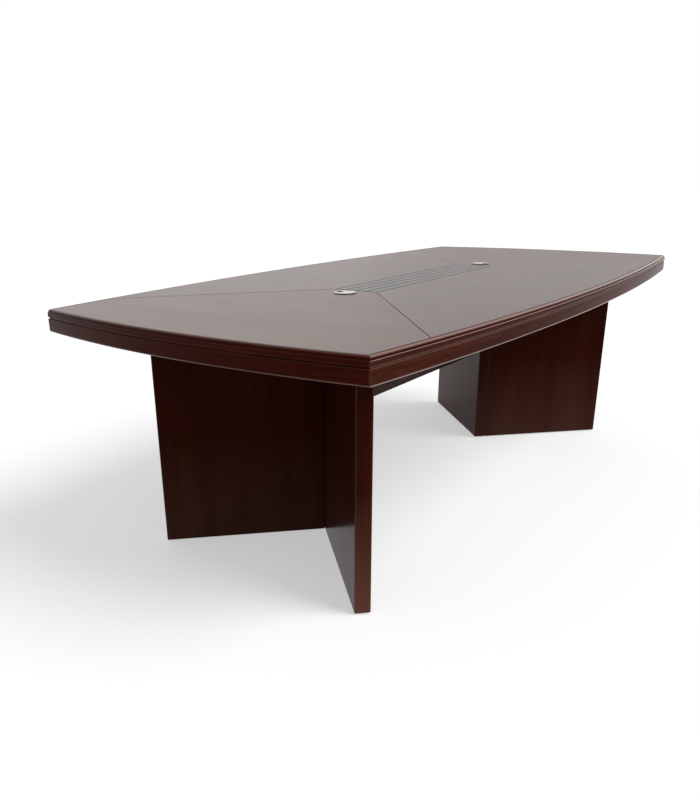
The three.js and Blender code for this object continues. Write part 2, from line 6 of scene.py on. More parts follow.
import logging
import math
from dataclasses import dataclass, replace
from enum import Enum
from typing import Callable, Dict, List, Optional, Sequence, Tuple, Union

import bmesh
import bpy
import numpy as np
from mathutils import Matrix, Vector
from mathutils.geometry import tessellate_polygon


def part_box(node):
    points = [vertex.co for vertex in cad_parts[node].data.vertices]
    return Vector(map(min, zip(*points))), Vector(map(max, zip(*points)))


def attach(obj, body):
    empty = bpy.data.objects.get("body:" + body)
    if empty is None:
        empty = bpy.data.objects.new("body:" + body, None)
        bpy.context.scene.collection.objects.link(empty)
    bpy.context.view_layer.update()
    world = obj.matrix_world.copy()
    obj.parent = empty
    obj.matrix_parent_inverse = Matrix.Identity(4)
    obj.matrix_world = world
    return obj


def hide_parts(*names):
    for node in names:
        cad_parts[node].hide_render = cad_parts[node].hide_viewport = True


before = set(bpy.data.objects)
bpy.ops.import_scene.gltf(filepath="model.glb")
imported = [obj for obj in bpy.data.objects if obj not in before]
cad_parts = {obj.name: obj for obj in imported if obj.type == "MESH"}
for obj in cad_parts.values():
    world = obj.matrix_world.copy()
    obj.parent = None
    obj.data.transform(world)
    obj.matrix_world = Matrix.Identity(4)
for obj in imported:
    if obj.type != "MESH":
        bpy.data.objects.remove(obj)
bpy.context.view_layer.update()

MM = 0.001
QUARTER = math.pi / 2
FULL_TURN = 2 * math.pi

# Sizes that the sub-assemblies share
TOP_LEVEL = 750 * MM
APEX = 524.8873 * MM
SEAT_GAP = 0.3 * MM
FIELD_DROP = 0.3 * MM

# Mesh layers and settings; the face ring is counted in radii of the edge's round
GRAIN_MAP = "grain"
CREST = "crest"
WELD_DISTANCE = 1e-6
SHARP_ANGLE = math.radians(35)
CORNER_STEPS = 5
FACE_RING = 1.4

# Limits on a face's normal: below the first on Z it stands upright, above the second it looks along a panel
UPRIGHT_NORMAL = 0.9
END_NORMAL = 0.44

# Shader values
NOISE_MEAN = 0.5
WHITE = (1.0, 1.0, 1.0, 1.0)

log = logging.getLogger("conference_table")

Colour = Tuple[float, float, float]
Feed = Union["Signal", float, Sequence[float]]
Loop = Callable[[float], np.ndarray]
FaceTest = Callable[[np.ndarray], np.ndarray]
Material = bpy.types.Material


class Grain(Enum):
    """The way that wood grain runs: along an axis of the table, or along a moulding's own length."""

    LENGTH = (1, 0, 0)
    WIDTH = (0, 1, 0)
    UPRIGHT = (0, 0, 1)
    MOULDING = (1, 0)

    def drawn_out(self, ratio: float) -> Tuple[float, ...]:
        """Factors that draw a pattern out along the grain by a ratio."""
        axis = (*self.value, 0)[:3]
        return tuple(1.0 / ratio if share else 1.0 for share in axis)


@dataclass(frozen=True)
class Layer:
    """One noise of a finish.

    It has so many swells to the metre, drawn out along the grain by a ratio, with finer noise of some
    detail and strength on them, and takes a share in the tone.
    """

    pitch: float
    drawn: float = 1.0
    detail: float = 2.0
    strength: float = 0.5
    share: float = 1.0


@dataclass(frozen=True)
class Relief:
    """How deep a bump is, in metres, and how strongly it shows."""

    depth: float
    strength: float


class Signal:
    """One output socket of a node tree, with value arithmetic written as Python expressions."""

    def __init__(self, graph: "Graph", socket: bpy.types.NodeSocket) -> None:
        """Keep the graph that new nodes go into and the socket that is wrapped."""
        self.graph = graph
        self.socket = socket

    def _math(self, operation: str, first: Feed, second: Feed) -> "Signal":
        """Add one Math node for two values."""
        return self.graph.node("ShaderNodeMath", {"operation": operation}, {0: first, 1: second})

    def __add__(self, other: Feed) -> "Signal":
        """Sum of two values."""
        return self._math("ADD", self, other)

    __radd__ = __add__

    def __sub__(self, other: Feed) -> "Signal":
        """Difference of two values."""
        return self._math("SUBTRACT", self, other)

    def __rsub__(self, other: Feed) -> "Signal":
        """Difference with the value on the right."""
        return self._math("SUBTRACT", other, self)

    def __mul__(self, other: Feed) -> "Signal":
        """Product of two values."""
        return self._math("MULTIPLY", self, other)

    __rmul__ = __mul__

    def clamped(self) -> "Signal":
        """The value kept between zero and one."""
        return self.graph.node("ShaderNodeClamp", {}, {"Value": self})

    def past(self, threshold: float, gain: float) -> "Signal":
        """How far the value is past a threshold, times a gain, between zero and one."""
        return ((self - threshold) * gain).clamped()

    def about(self, base: float, swing: float) -> "Signal":
        """A noise moved to lie about a base, with its swing multiplied."""
        return (self - NOISE_MEAN) * swing + base


class Graph:
    """The node tree of one material or of the world."""

    def __init__(self, tree: bpy.types.NodeTree) -> None:
        """Start from an empty tree."""
        self.tree = tree
        tree.nodes.clear()

    def node(
        self,
        kind: str,
        settings: Optional[Dict[str, object]] = None,
        feeds: Optional[Dict[Union[int, str], Feed]] = None,
        output: Union[int, str] = 0,
    ) -> Signal:
        """Add a node, set it up and feed its sockets.

        Args:
            kind: Blender's name for the node's type.
            settings: attributes set before the sockets; "stops" gives a ramp's positions and colours.
            feeds: values or links, by socket name or number.
            output: the output that the caller goes on with.

        Returns:
            The chosen output.
        """
        made = self.tree.nodes.new(kind)
        for name, value in (settings or {}).items():
            if name == "stops":
                self._set_stops(made.color_ramp, value)
            else:
                setattr(made, name, value)
        for key, feed in (feeds or {}).items():
            if isinstance(feed, Signal):
                self.tree.links.new(feed.socket, made.inputs[key])
            else:
                made.inputs[key].default_value = feed
        return Signal(self, made.outputs[output] if len(made.outputs) else None)

    @staticmethod
    def _set_stops(ramp: bpy.types.ColorRamp, stops: Sequence[Tuple[float, Colour]]) -> None:
        """Give a colour ramp its stops.

        Args:
            ramp: a new ramp.
            stops: positions and colours, in order.
        """
        while len(ramp.elements) < len(stops):
            ramp.elements.new(1.0)
        for element, (position, colour) in zip(ramp.elements, stops):
            element.position = position
            element.color = opaque(colour)

    def place(self) -> Signal:
        """Where a point lies on its object."""
        return self.node("ShaderNodeTexCoord", {}, {}, "Object")

    def mapped(self) -> Signal:
        """Where a point lies in its piece's grain map."""
        return self.node("ShaderNodeUVMap", {"uv_map": GRAIN_MAP})

    def vector(self, operation: str, feeds: Dict[Union[int, str], Feed]) -> Signal:
        """A Vector Math node."""
        return self.node("ShaderNodeVectorMath", {"operation": operation}, feeds)

    def noise(self, place: Signal, layer: Layer, grain: Optional[Grain] = None) -> Signal:
        """Smooth noise about one half.

        Args:
            place: the places that it is read at.
            layer: its pitch and detail.
            grain: the grain that it is drawn out along, where there is one.

        Returns:
            The noise.
        """
        if grain:
            place = self.vector("MULTIPLY", {0: place, 1: grain.drawn_out(layer.drawn)})
        feeds = {"Vector": place, "Scale": layer.pitch, "Detail": layer.detail, "Roughness": layer.strength}
        return self.node("ShaderNodeTexNoise", {"noise_dimensions": "3D"}, feeds)

    def bent(self, place: Signal, pitch: float, reach: float) -> Signal:
        """Places moved about by slow noise, so that lines drawn with them wander.

        Args:
            place: the places.
            pitch: swells of the noise to the metre.
            reach: how far a full swing of the noise moves a place.

        Returns:
            The moved places.
        """
        feeds = {"Vector": place, "Scale": pitch}
        swell = self.node("ShaderNodeTexNoise", {"noise_dimensions": "3D"}, feeds, "Color")
        sway = self.vector("SUBTRACT", {0: swell, 1: (NOISE_MEAN,) * 3})
        return self.vector("ADD", {0: place, 1: self.vector("SCALE", {0: sway, "Scale": reach})})

    def tone(self, *noises: Tuple[Signal, Layer]) -> Signal:
        """Noises added by their shares, with the sum moved to lie about one half, between zero and one."""
        excess = sum(layer.share for _, layer in noises) - 1
        return (sum(noise * layer.share for noise, layer in noises) - excess * NOISE_MEAN).clamped()

    def ramp(self, value: Signal, positions: Sequence[float], colours: Sequence[Colour]) -> Signal:
        """A colour read off a ramp that has a colour at each position."""
        stops = list(zip(positions, colours))
        return self.node("ShaderNodeValToRGB", {"stops": stops}, {"Fac": value}, "Color")

    def blend(self, factor: Feed, first: Feed, second: Feed) -> Signal:
        """A colour between two colours."""
        return self.node("ShaderNodeMix", {"data_type": "RGBA"}, {0: factor, 6: first, 7: second}, 2)

    def bump(self, height: Signal, relief: Relief) -> Signal:
        """A normal tilted by a height."""
        feeds = {"Height": height, "Distance": relief.depth, "Strength": relief.strength}
        return self.node("ShaderNodeBump", {}, feeds)


def opaque(colour: Colour) -> Tuple[float, float, float, float]:
    """A colour with full alpha."""
    return (*colour, 1.0)


def surface_shader(name: str) -> Tuple[Material, Graph]:
    """Make a material.

    Args:
        name: its name.

    Returns:
        The material and its empty node graph.
    """
    made = bpy.data.materials.new(name)
    made.use_nodes = True
    return made, Graph(made.node_tree)


@dataclass(frozen=True)
class Finish:
    """A named surface finish; each kind says what feeds its surface."""

    name: str

    def sockets(self, g: Graph) -> Dict[str, Feed]:
        """What feeds the sockets of a Principled surface; each kind of finish has its own."""
        raise NotImplementedError

    def material(self) -> Material:
        """Build the finish.

        Returns:
            The new material.
        """
        made, g = surface_shader(self.name)
        surface = g.node("ShaderNodeBsdfPrincipled", {}, self.sockets(g))
        g.node("ShaderNodeOutputMaterial", {}, {"Surface": surface})
        return made


@dataclass(frozen=True)
class Stain:
    """Tones of stained wood, from its dark streaks to its pale ones."""

    dark: Colour
    body: Colour
    pale: Colour


@dataclass(frozen=True)
class LacqueredWood(Finish):
    """Stained mahogany under a clear lacquer: ribbon figure, fine streaks and short dark pores.

    Where a piece's crest is above zero the wood is painted pale, partly as wear and partly as a painted
    highlight, and its lacquer polished; below zero a painted shade darkens the inner corner. Up to its
    height the paler colour towards the floor is partly scuffing and partly painted light bounced from the
    floor. The pores' edge is a threshold and a gain, and the sway is a pitch and a reach.
    """

    grain: Grain
    stain: Stain
    gloss: float
    specular: float
    mirror_tint: Colour
    # Pale colour on crests: partly rubbed wear, partly a painted highlight
    rubbed: Colour = (0.33, 0.16, 0.122)
    rubbed_and_highlight_share: float = 0.6
    # Painted shade where a round ends in an inner corner
    painted_corner_shade: Colour = (0.011, 0.0012, 0.0012)
    # Paler colour towards the floor: partly scuffs, partly painted light bounced from the floor
    scuff_and_floor_light: Colour = (0.075, 0.036, 0.028)
    scuff_and_floor_light_share: float = 0.5
    scuff_and_floor_light_height: float = 0.0
    polish_and_highlight: float = 0.0
    polish_gloss: float = 0.10
    stops: Tuple[float, ...] = (0.22, 0.50, 0.80)
    sway: Tuple[float, float] = (2.2, 0.05)
    ribbon: Layer = Layer(14.0, drawn=9.0, detail=3.0, share=0.8)
    streak: Layer = Layer(130.0, drawn=45.0, detail=4.0, strength=0.6, share=0.8)
    fibre: Layer = Layer(620.0, drawn=60.0, strength=0.6, share=0.6)
    pore: Layer = Layer(1100.0, drawn=16.0, detail=1.0)
    pore_edge: Tuple[float, float] = (0.58, 8.0)
    pore_stain: float = 0.75
    pore_dullness: float = 0.06
    pore_depth: float = 0.25
    gloss_swing: float = 0.10
    ripple: Layer = Layer(55.0)
    ripple_height: float = 0.6
    relief: Relief = Relief(0.4 * MM, 0.10)

    def sockets(self, g: Graph) -> Dict[str, Feed]:
        """Stain, wear and lacquer, all drawn out along the grain.

        Args:
            g: the material's graph.

        Returns:
            Values and links by socket.
        """
        place = g.mapped() if self.grain is Grain.MOULDING else g.place()
        wander = g.bent(place, *self.sway)
        layers = (self.ribbon, self.streak, self.fibre, self.pore)
        ribbon, streak, fibre, pore = (g.noise(wander, layer, self.grain) for layer in layers)
        pores = pore.past(*self.pore_edge)
        tone = g.tone((ribbon, self.ribbon), (streak, self.streak), (fibre, self.fibre))
        colour = g.ramp(tone, self.stops, (self.stain.dark, self.stain.body, self.stain.pale))
        colour = g.blend(pores * self.pore_stain, colour, opaque(self.stain.dark))
        crest: Feed = 0.0
        if self.polish_and_highlight:
            # Crests are painted pale, partly as rubbed wear and partly as a painted highlight; a negative
            # crest paints shade into an inner corner
            raised = g.node("ShaderNodeAttribute", {"attribute_name": CREST}, {}, "Fac")
            crest = raised.clamped()
            patchy = ribbon.about(self.rubbed_and_highlight_share, self.rubbed_and_highlight_share)
            colour = g.blend(crest * patchy, colour, opaque(self.rubbed))
            colour = g.blend((raised * -1.0).clamped(), colour, opaque(self.painted_corner_shade))
        # Towards the floor the colour is painted paler: partly scuffs, partly painted floor light
        if self.scuff_and_floor_light_height:
            level = g.node("ShaderNodeSeparateXYZ", {}, {0: place}, "Z")
            foot = (1.0 - level * (1.0 / self.scuff_and_floor_light_height)).clamped()
            patchy = ribbon.about(self.scuff_and_floor_light_share, self.scuff_and_floor_light_share)
            colour = g.blend(foot * patchy, colour, opaque(self.scuff_and_floor_light))
        height = g.noise(place, self.ripple) * self.ripple_height - pores * self.pore_depth
        return {
            "Base Color": colour,
            "Roughness": streak.about(self.gloss, self.gloss_swing) + pores * self.pore_dullness,
            "Specular IOR Level": self.specular,
            "Specular Tint": opaque(self.mirror_tint),
            "Coat Weight": crest * self.polish_and_highlight,
            "Coat Roughness": self.polish_gloss,
            "Normal": g.bump(height, self.relief),
        }


@dataclass(frozen=True)
class PlainBoard(Finish):
    """Pressed fibreboard: matted fibres with pale and dark specks."""

    dark: Colour
    pale: Colour
    specular: float = 0.5
    roughness: float = 0.72
    roughness_swing: float = 0.2
    stops: Tuple[float, ...] = (0.25, 0.75)
    clouds: Layer = Layer(9.0, detail=3.0, share=0.5)
    fibres: Layer = Layer(420.0, detail=4.0, strength=0.65, share=0.9)
    sway: Tuple[float, float] = (60.0, 0.02)
    matting: Tuple[float, ...] = (0.35, 1.0, 0.8)
    relief: Relief = Relief(0.5 * MM, 0.35)

    def sockets(self, g: Graph) -> Dict[str, Feed]:
        """Two sizes of fibre noise.

        Args:
            g: the material's graph.

        Returns:
            Values and links by socket.
        """
        place = g.place()
        clouds = g.noise(place, self.clouds)
        matted = g.vector("MULTIPLY", {0: g.bent(place, *self.sway), 1: self.matting})
        fibres = g.noise(matted, self.fibres)
        tone = g.tone((clouds, self.clouds), (fibres, self.fibres))
        return {
            "Base Color": g.ramp(tone, self.stops, (self.dark, self.pale)),
            "Roughness": fibres.about(self.roughness, self.roughness_swing),
            "Specular IOR Level": self.specular,
            "Normal": g.bump(fibres, self.relief),
        }


@dataclass(frozen=True)
class Softwood(Finish):
    """Planed pine: pale early wood with darker rings that run along the piece."""

    grain: Grain
    early: Colour = (0.42, 0.27, 0.13)
    late: Colour = (0.27, 0.14, 0.055)
    stops: Tuple[float, ...] = (0.28, 0.62)
    rings: Layer = Layer(75.0, drawn=18.0, share=1.1)
    fibres: Layer = Layer(700.0, drawn=30.0, share=0.5)
    sway: Tuple[float, float] = (3.0, 0.04)
    roughness: float = 0.66
    roughness_swing: float = 0.2
    relief: Relief = Relief(0.3 * MM, 0.3)

    def sockets(self, g: Graph) -> Dict[str, Feed]:
        """Rings and saw marks drawn out along the grain.

        Args:
            g: the material's graph.

        Returns:
            Values and links by socket.
        """
        place = g.place()
        rings = g.noise(g.bent(place, *self.sway), self.rings, self.grain)
        fibres = g.noise(place, self.fibres, self.grain)
        tone = g.tone((rings, self.rings), (fibres, self.fibres))
        return {
            "Base Color": g.ramp(tone, self.stops, (self.late, self.early)),
            "Roughness": fibres.about(self.roughness, self.roughness_swing),
            "Normal": g.bump(fibres, self.relief),
        }


@dataclass(frozen=True)
class RubbedSkin(Finish):
    """A fine pebbled skin, rubbed paler in slow patches whose edge is a threshold and a gain."""

    colour: Colour
    rubbed: Colour
    skin: Layer
    rub: Layer
    rub_edge: Tuple[float, float]
    rub_share: float
    roughness: float
    roughness_swing: float
    specular: float
    relief: Relief

    def sockets(self, g: Graph) -> Dict[str, Feed]:
        """Skin noise and rub marks.

        Args:
            g: the material's graph.

        Returns:
            Values and links by socket.
        """
        place = g.place()
        skin = g.noise(place, self.skin)
        rub = g.noise(place, self.rub).past(*self.rub_edge)
        return {
            "Base Color": g.blend(rub * self.rub_share, opaque(self.colour), opaque(self.rubbed)),
            "Roughness": skin.about(self.roughness, self.roughness_swing),
            "Specular IOR Level": self.specular,
            "Normal": g.bump(skin, self.relief),
        }


@dataclass(frozen=True)
class SatinMetal(Finish):
    """Plated metal spun on a lathe: fine rings about the piece's own centre, and faint tarnish."""

    bright: Colour = (0.58, 0.54, 0.47)
    dull: Colour = (0.42, 0.38, 0.32)
    roughness: float = 0.28
    rings: Layer = Layer(2600.0)
    ring_swing: float = 0.16
    tarnish: Layer = Layer(90.0, detail=4.0, strength=0.65)
    tarnish_swing: float = 0.12
    tarnish_tone: Tuple[float, float] = (0.4, 1.4)
    relief: Relief = Relief(0.05 * MM, 0.5)

    def sockets(self, g: Graph) -> Dict[str, Feed]:
        """Rings read the distance from the centre kept in the grain map; tarnish reads the map itself.

        Args:
            g: the material's graph.

        Returns:
            Values and links by socket.
        """
        flat = g.mapped()
        radius = g.node("ShaderNodeVectorMath", {"operation": "LENGTH"}, {0: flat}, "Value")
        rings = g.noise(g.node("ShaderNodeCombineXYZ", {}, {"X": radius}), self.rings)
        tarnish = g.noise(flat, self.tarnish)
        tone = tarnish.about(*self.tarnish_tone).clamped()
        dullness = tarnish.about(self.roughness, self.tarnish_swing)
        return {
            "Base Color": g.blend(tone, opaque(self.dull), opaque(self.bright)),
            "Metallic": 1.0,
            "Roughness": rings.about(0.0, self.ring_swing) + dullness,
            "Normal": g.bump(rings, self.relief),
        }


@dataclass
class Patch:
    """A surface before it becomes a mesh.

    It holds points, faces, the points' places in the grain map, and how far each point is a crest.
    """

    points: np.ndarray
    faces: List[Sequence[int]]
    grain: np.ndarray
    crest: np.ndarray

    def moved(self, matrix: Matrix) -> "Patch":
        """The same surface taken through a matrix."""
        carry = np.array(matrix)
        return replace(self, points=self.points @ carry[:3, :3].T + carry[:3, 3])


def flat_patch(points: np.ndarray, faces: List[Sequence[int]]) -> Patch:
    """A surface with no crest on it, whose grain map is its plan."""
    return Patch(points, faces, points[:, :2].copy(), np.zeros(len(points)))


def grid_faces(rows: int, columns: int, wrap_rows: bool, wrap_columns: bool) -> np.ndarray:
    """Quads of a grid whose points are numbered row by row.

    Args:
        rows: number of rows of points.
        columns: number of points in a row.
        wrap_rows: whether the last row joins the first.
        wrap_columns: whether the last point of a row joins its first.

    Returns:
        An array of four point numbers for each quad.
    """
    i = np.arange(rows if wrap_rows else rows - 1)[:, None]
    j = np.arange(columns if wrap_columns else columns - 1)[None, :]
    below, right = (i + 1) % rows, (j + 1) % columns
    corners = [i * columns + j, i * columns + right, below * columns + right, below * columns + j]
    return np.stack(np.broadcast_arrays(*corners), axis=-1).reshape(-1, 4)


def capped_tube(rows: int, columns: int) -> List[Sequence[int]]:
    """Faces of closed rows of points, with the first and the last row filled in."""
    first, last = list(range(columns)), list(range((rows - 1) * columns, rows * columns))
    return [*grid_faces(rows, columns, False, True).tolist(), first, last]


def facing(angle: np.ndarray) -> np.ndarray:
    """Unit vectors (cos a, sin a)."""
    return np.stack([np.cos(angle), np.sin(angle)], axis=-1)


def arc(centre: Sequence[float], radius: float, start: float, end: float, steps: int) -> np.ndarray:
    """Points on a circle: centre plus radius times (cos a, sin a), for a in even steps from start to end."""
    return np.asarray(centre) + radius * facing(np.linspace(start, end, steps + 1))


def spokes(count: int) -> np.ndarray:
    """Unit vectors evenly all round, anticlockwise from +X."""
    return facing(np.linspace(0, FULL_TURN, count, endpoint=False))


def corners(*points: Tuple[float, float], crest: float = 0.0) -> np.ndarray:
    """Corners of a moulding's profile that share one crest."""
    return np.array([(*point, crest) for point in points])


def crested(
    centre: Sequence[float],
    radius: float,
    start: float,
    end: float,
    steps: int,
    crest: float,
    focus: float = 1.0,
    lean: float = 1.0,
    painted_corner_shade: float = 0.0,
) -> np.ndarray:
    """A round of a moulding's profile.

    At a share s of the round its crest, which a polished finish paints pale as a highlight, is the given
    crest times sin(pi t) to the power of the focus, where t is s to the power of the lean. The painted
    corner shade times s to the fourth is taken off, so that the round is painted darkest, as shade, where
    it ends in an inner corner.

    Args:
        centre: inset and level of the round's centre.
        radius: its radius.
        start: angle of its first point.
        end: angle of its last point.
        steps: steps between them.
        crest: how far its middle is a crest.
        focus: how narrow that crest is.
        lean: below one, how far the crest lies towards the first point.
        painted_corner_shade: how much painted shade darkens its end.

    Returns:
        Points of inset, level and crest.
    """
    share = np.linspace(0, 1, steps + 1)
    rise = crest * np.sin(math.pi * share**lean).clip(0) ** focus - painted_corner_shade * share**4
    return np.concatenate([arc(centre, radius, start, end, steps), rise[:, None]], axis=1)


def drawn_in(loop: np.ndarray) -> Loop:
    """A closed loop as a function of how far its sides are drawn in.

    With the inward normals m and n of the two sides at a corner, it moves by (m + n) / (1 + m.n) times the
    depth.

    Args:
        loop: corners of the loop, anticlockwise, or clockwise for a hole.

    Returns:
        The function from a depth to the corners drawn in.
    """
    side = np.roll(loop, -1, axis=0) - loop
    side /= np.linalg.norm(side, axis=1, keepdims=True)
    after = np.stack([-side[:, 1], side[:, 0]], axis=-1)
    before = np.roll(after, 1, axis=0)
    move = (before + after) / (1 + np.sum(before * after, axis=1, keepdims=True))
    return lambda depth: loop + move * depth


def rounded_rectangle(left: float, right: float, low: float, high: float, radius: float) -> Loop:
    """A rectangle with rounded corners, as a function of how far its sides are drawn in.

    The corners keep their centres until their radius is used up, and stay sharp after that.

    Args:
        left: place of the left side.
        right: place of the right side.
        low: place of the lower side.
        high: place of the upper side.
        radius: radius of the corners.

    Returns:
        The function from a depth to the points, anticlockwise.
    """

    def at(depth: float) -> np.ndarray:
        """The rectangle drawn in.

        Args:
            depth: how far its sides are drawn in.

        Returns:
            Its points.
        """
        r, back = max(radius - depth, 0.0), max(radius, depth)
        near, far = right - back, left + back
        centres = ((near, low + back), (near, high - back), (far, high - back), (far, low + back))
        rounds = [arc(c, r, (i - 1) * QUARTER, i * QUARTER, CORNER_STEPS) for i, c in enumerate(centres)]
        return np.concatenate(rounds)

    return at


def rounded_plate(loops: Sequence[Loop], low: float, high: float, radius: float, steps: int) -> Patch:
    """A flat plate with rounded edges.

    Each loop is carried through rings: at a fillet angle a the loop is drawn in by r (1 - sin a) and
    lies r (1 - cos a) from the face. One more ring just inside each face keeps the face's shading flat.
    The crest is sin 2a: none where the round meets the face or the wall, and full half way; a polished
    finish paints it pale as a highlight.

    Args:
        loops: the outline, anticlockwise, and then any holes, clockwise.
        low: level of the lower face.
        high: level of the upper face.
        radius: radius of the rounded edges.
        steps: steps in each quarter round.

    Returns:
        The closed plate, with its plan coordinates as the grain map.
    """
    angle = np.linspace(0, QUARTER, steps + 1)
    draw_in = np.concatenate([[FACE_RING * radius], radius * (1 - np.sin(angle))])
    drop = np.concatenate([[0.0], radius * (1 - np.cos(angle))])
    rise = np.concatenate([[0.0], np.sin(2 * angle)])
    draw_in, rise = (np.concatenate([half, half[::-1]]) for half in (draw_in, rise))
    level = np.concatenate([high - drop, (low + drop)[::-1]])
    points, crests, faces, upper, lower, first = [], [], [], [], [], 0
    for loop in loops:
        plan = np.stack([loop(depth) for depth in draw_in])
        rows, count = plan.shape[:2]
        heights = np.broadcast_to(level[:, None, None], (rows, count, 1))
        faces.extend((grid_faces(rows, count, False, True) + first).tolist())
        upper.append(np.arange(count) + first)
        lower.append(np.arange(count) + first + (rows - 1) * count)
        points.append(np.concatenate([plan, heights], axis=-1).reshape(-1, 3))
        crests.append(np.repeat(rise, count))
        first += rows * count
    stacked = np.concatenate(points)
    for rim in (upper, lower):
        if len(rim) == 1:
            faces.append(rim[0].tolist())
        else:
            cells = tessellate_polygon([[Vector(point) for point in stacked[edge]] for edge in rim])
            faces.extend(np.concatenate(rim)[np.array(cells)].tolist())
    return replace(flat_patch(stacked, faces), crest=np.concatenate(crests))


def turned_ring(profile: np.ndarray, steps: int) -> Patch:
    """A closed profile carried round the Z axis.

    The point at angle a is (radius cos a, radius sin a, level).

    Args:
        profile: points of radius and level.
        steps: steps round the axis.

    Returns:
        The closed ring.
    """
    plan = profile[None, :, :1] * spokes(steps)[:, None]
    level = np.broadcast_to(profile[None, :, 1:], (*plan.shape[:2], 1))
    points = np.concatenate([plan, level], axis=-1).reshape(-1, 3)
    return flat_patch(points, grid_faces(steps, len(profile), True, True).tolist())


def upright(normals: np.ndarray) -> np.ndarray:
    """Which faces stand upright, by their normals."""
    return np.abs(normals[:, 2]) < UPRIGHT_NORMAL


def looking(direction: Sequence[float]) -> FaceTest:
    """A test for the faces that look along a unit vector."""
    return lambda normals: normals @ np.asarray(direction) > END_NORMAL


def make_piece(
    name: str,
    patches: Sequence[Patch],
    finish: Material,
    wall_finish: Optional[Material] = None,
    walls: FaceTest = upright,
) -> bpy.types.Object:
    """Join surfaces into one object at the origin.

    Args:
        name: the piece's name.
        patches: closed surfaces that make up the piece.
        finish: its material.
        wall_finish: the material of its walls, where that is another.
        walls: which faces those are.

    Returns:
        The new object, linked into the scene.
    """
    starts = np.cumsum([0, *[len(patch.points) for patch in patches]]).tolist()
    points, grain, crest = (
        np.concatenate([getattr(patch, part) for patch in patches]) for part in ("points", "grain", "crest")
    )
    faces = [
        [number + start for number in face]
        for patch, start in zip(patches, starts)
        for face in patch.faces
    ]
    mesh = bpy.data.meshes.new(name)
    mesh.from_pydata(points.tolist(), [], faces)
    corner = np.empty(len(mesh.loops), dtype=np.int32)
    mesh.loops.foreach_get("vertex_index", corner)
    layer = mesh.uv_layers.new(name=GRAIN_MAP)
    layer.data.foreach_set("uv", grain[corner].astype(np.float32).ravel())
    mesh.attributes.new(CREST, "FLOAT", "POINT").data.foreach_set("value", crest.astype(np.float32))
    work = bmesh.new()
    work.from_mesh(mesh)
    bmesh.ops.remove_doubles(work, verts=work.verts, dist=WELD_DISTANCE)
    bmesh.ops.dissolve_degenerate(work, dist=WELD_DISTANCE, edges=work.edges)
    bmesh.ops.recalc_face_normals(work, faces=work.faces)
    work.to_mesh(mesh)
    work.free()
    mesh.polygons.foreach_set("use_smooth", np.ones(len(mesh.polygons), dtype=bool))
    mesh.set_sharp_from_angle(angle=SHARP_ANGLE)
    mesh.materials.append(finish)
    if wall_finish:
        normals = np.empty(3 * len(mesh.polygons), dtype=np.float32)
        mesh.polygons.foreach_get("normal", normals)
        mesh.materials.append(wall_finish)
        mesh.polygons.foreach_set("material_index", walls(normals.reshape(-1, 3)).astype(np.int32))
    piece = bpy.data.objects.new(name, mesh)
    bpy.context.scene.collection.objects.link(piece)
    return piece


def put_in(piece: bpy.types.Object, body: str, slot: str, *nodes: str) -> None:
    """Let a piece ride on a body, hide the nodes that it stands for, and report it.

    Args:
        piece: the new piece.
        body: the body that carries it.
        slot: name of a material slot; not used.
        nodes: CAD nodes that the piece replaces.
    """
    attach(piece, body)
    if nodes:
        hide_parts(*nodes)
    faces = len(piece.data.polygons)
    log.info("%s on %s, %d faces, for %s", piece.name, body, faces, ", ".join(nodes) or "no node")


def dress(finish: Material, *nodes: str) -> None:
    """Give CAD nodes a finish in place of the plain one that they came with.

    Args:
        finish: the material.
        nodes: names of the nodes.
    """
    for name in nodes:
        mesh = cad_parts[name].data
        mesh.materials.clear()
        mesh.materials.append(finish)
    log.info("%s on %s", finish.name, ", ".join(nodes))


def numbered(stem: str, count: int) -> List[str]:
    """Names of a stem with numbers from one."""
    return [f"{stem}_{number}" for number in range(1, count + 1)]


class Edge(Enum):
    """The two kinds of edge of the top, each with the direction that it faces."""

    END = 0.0
    SIDE = QUARTER


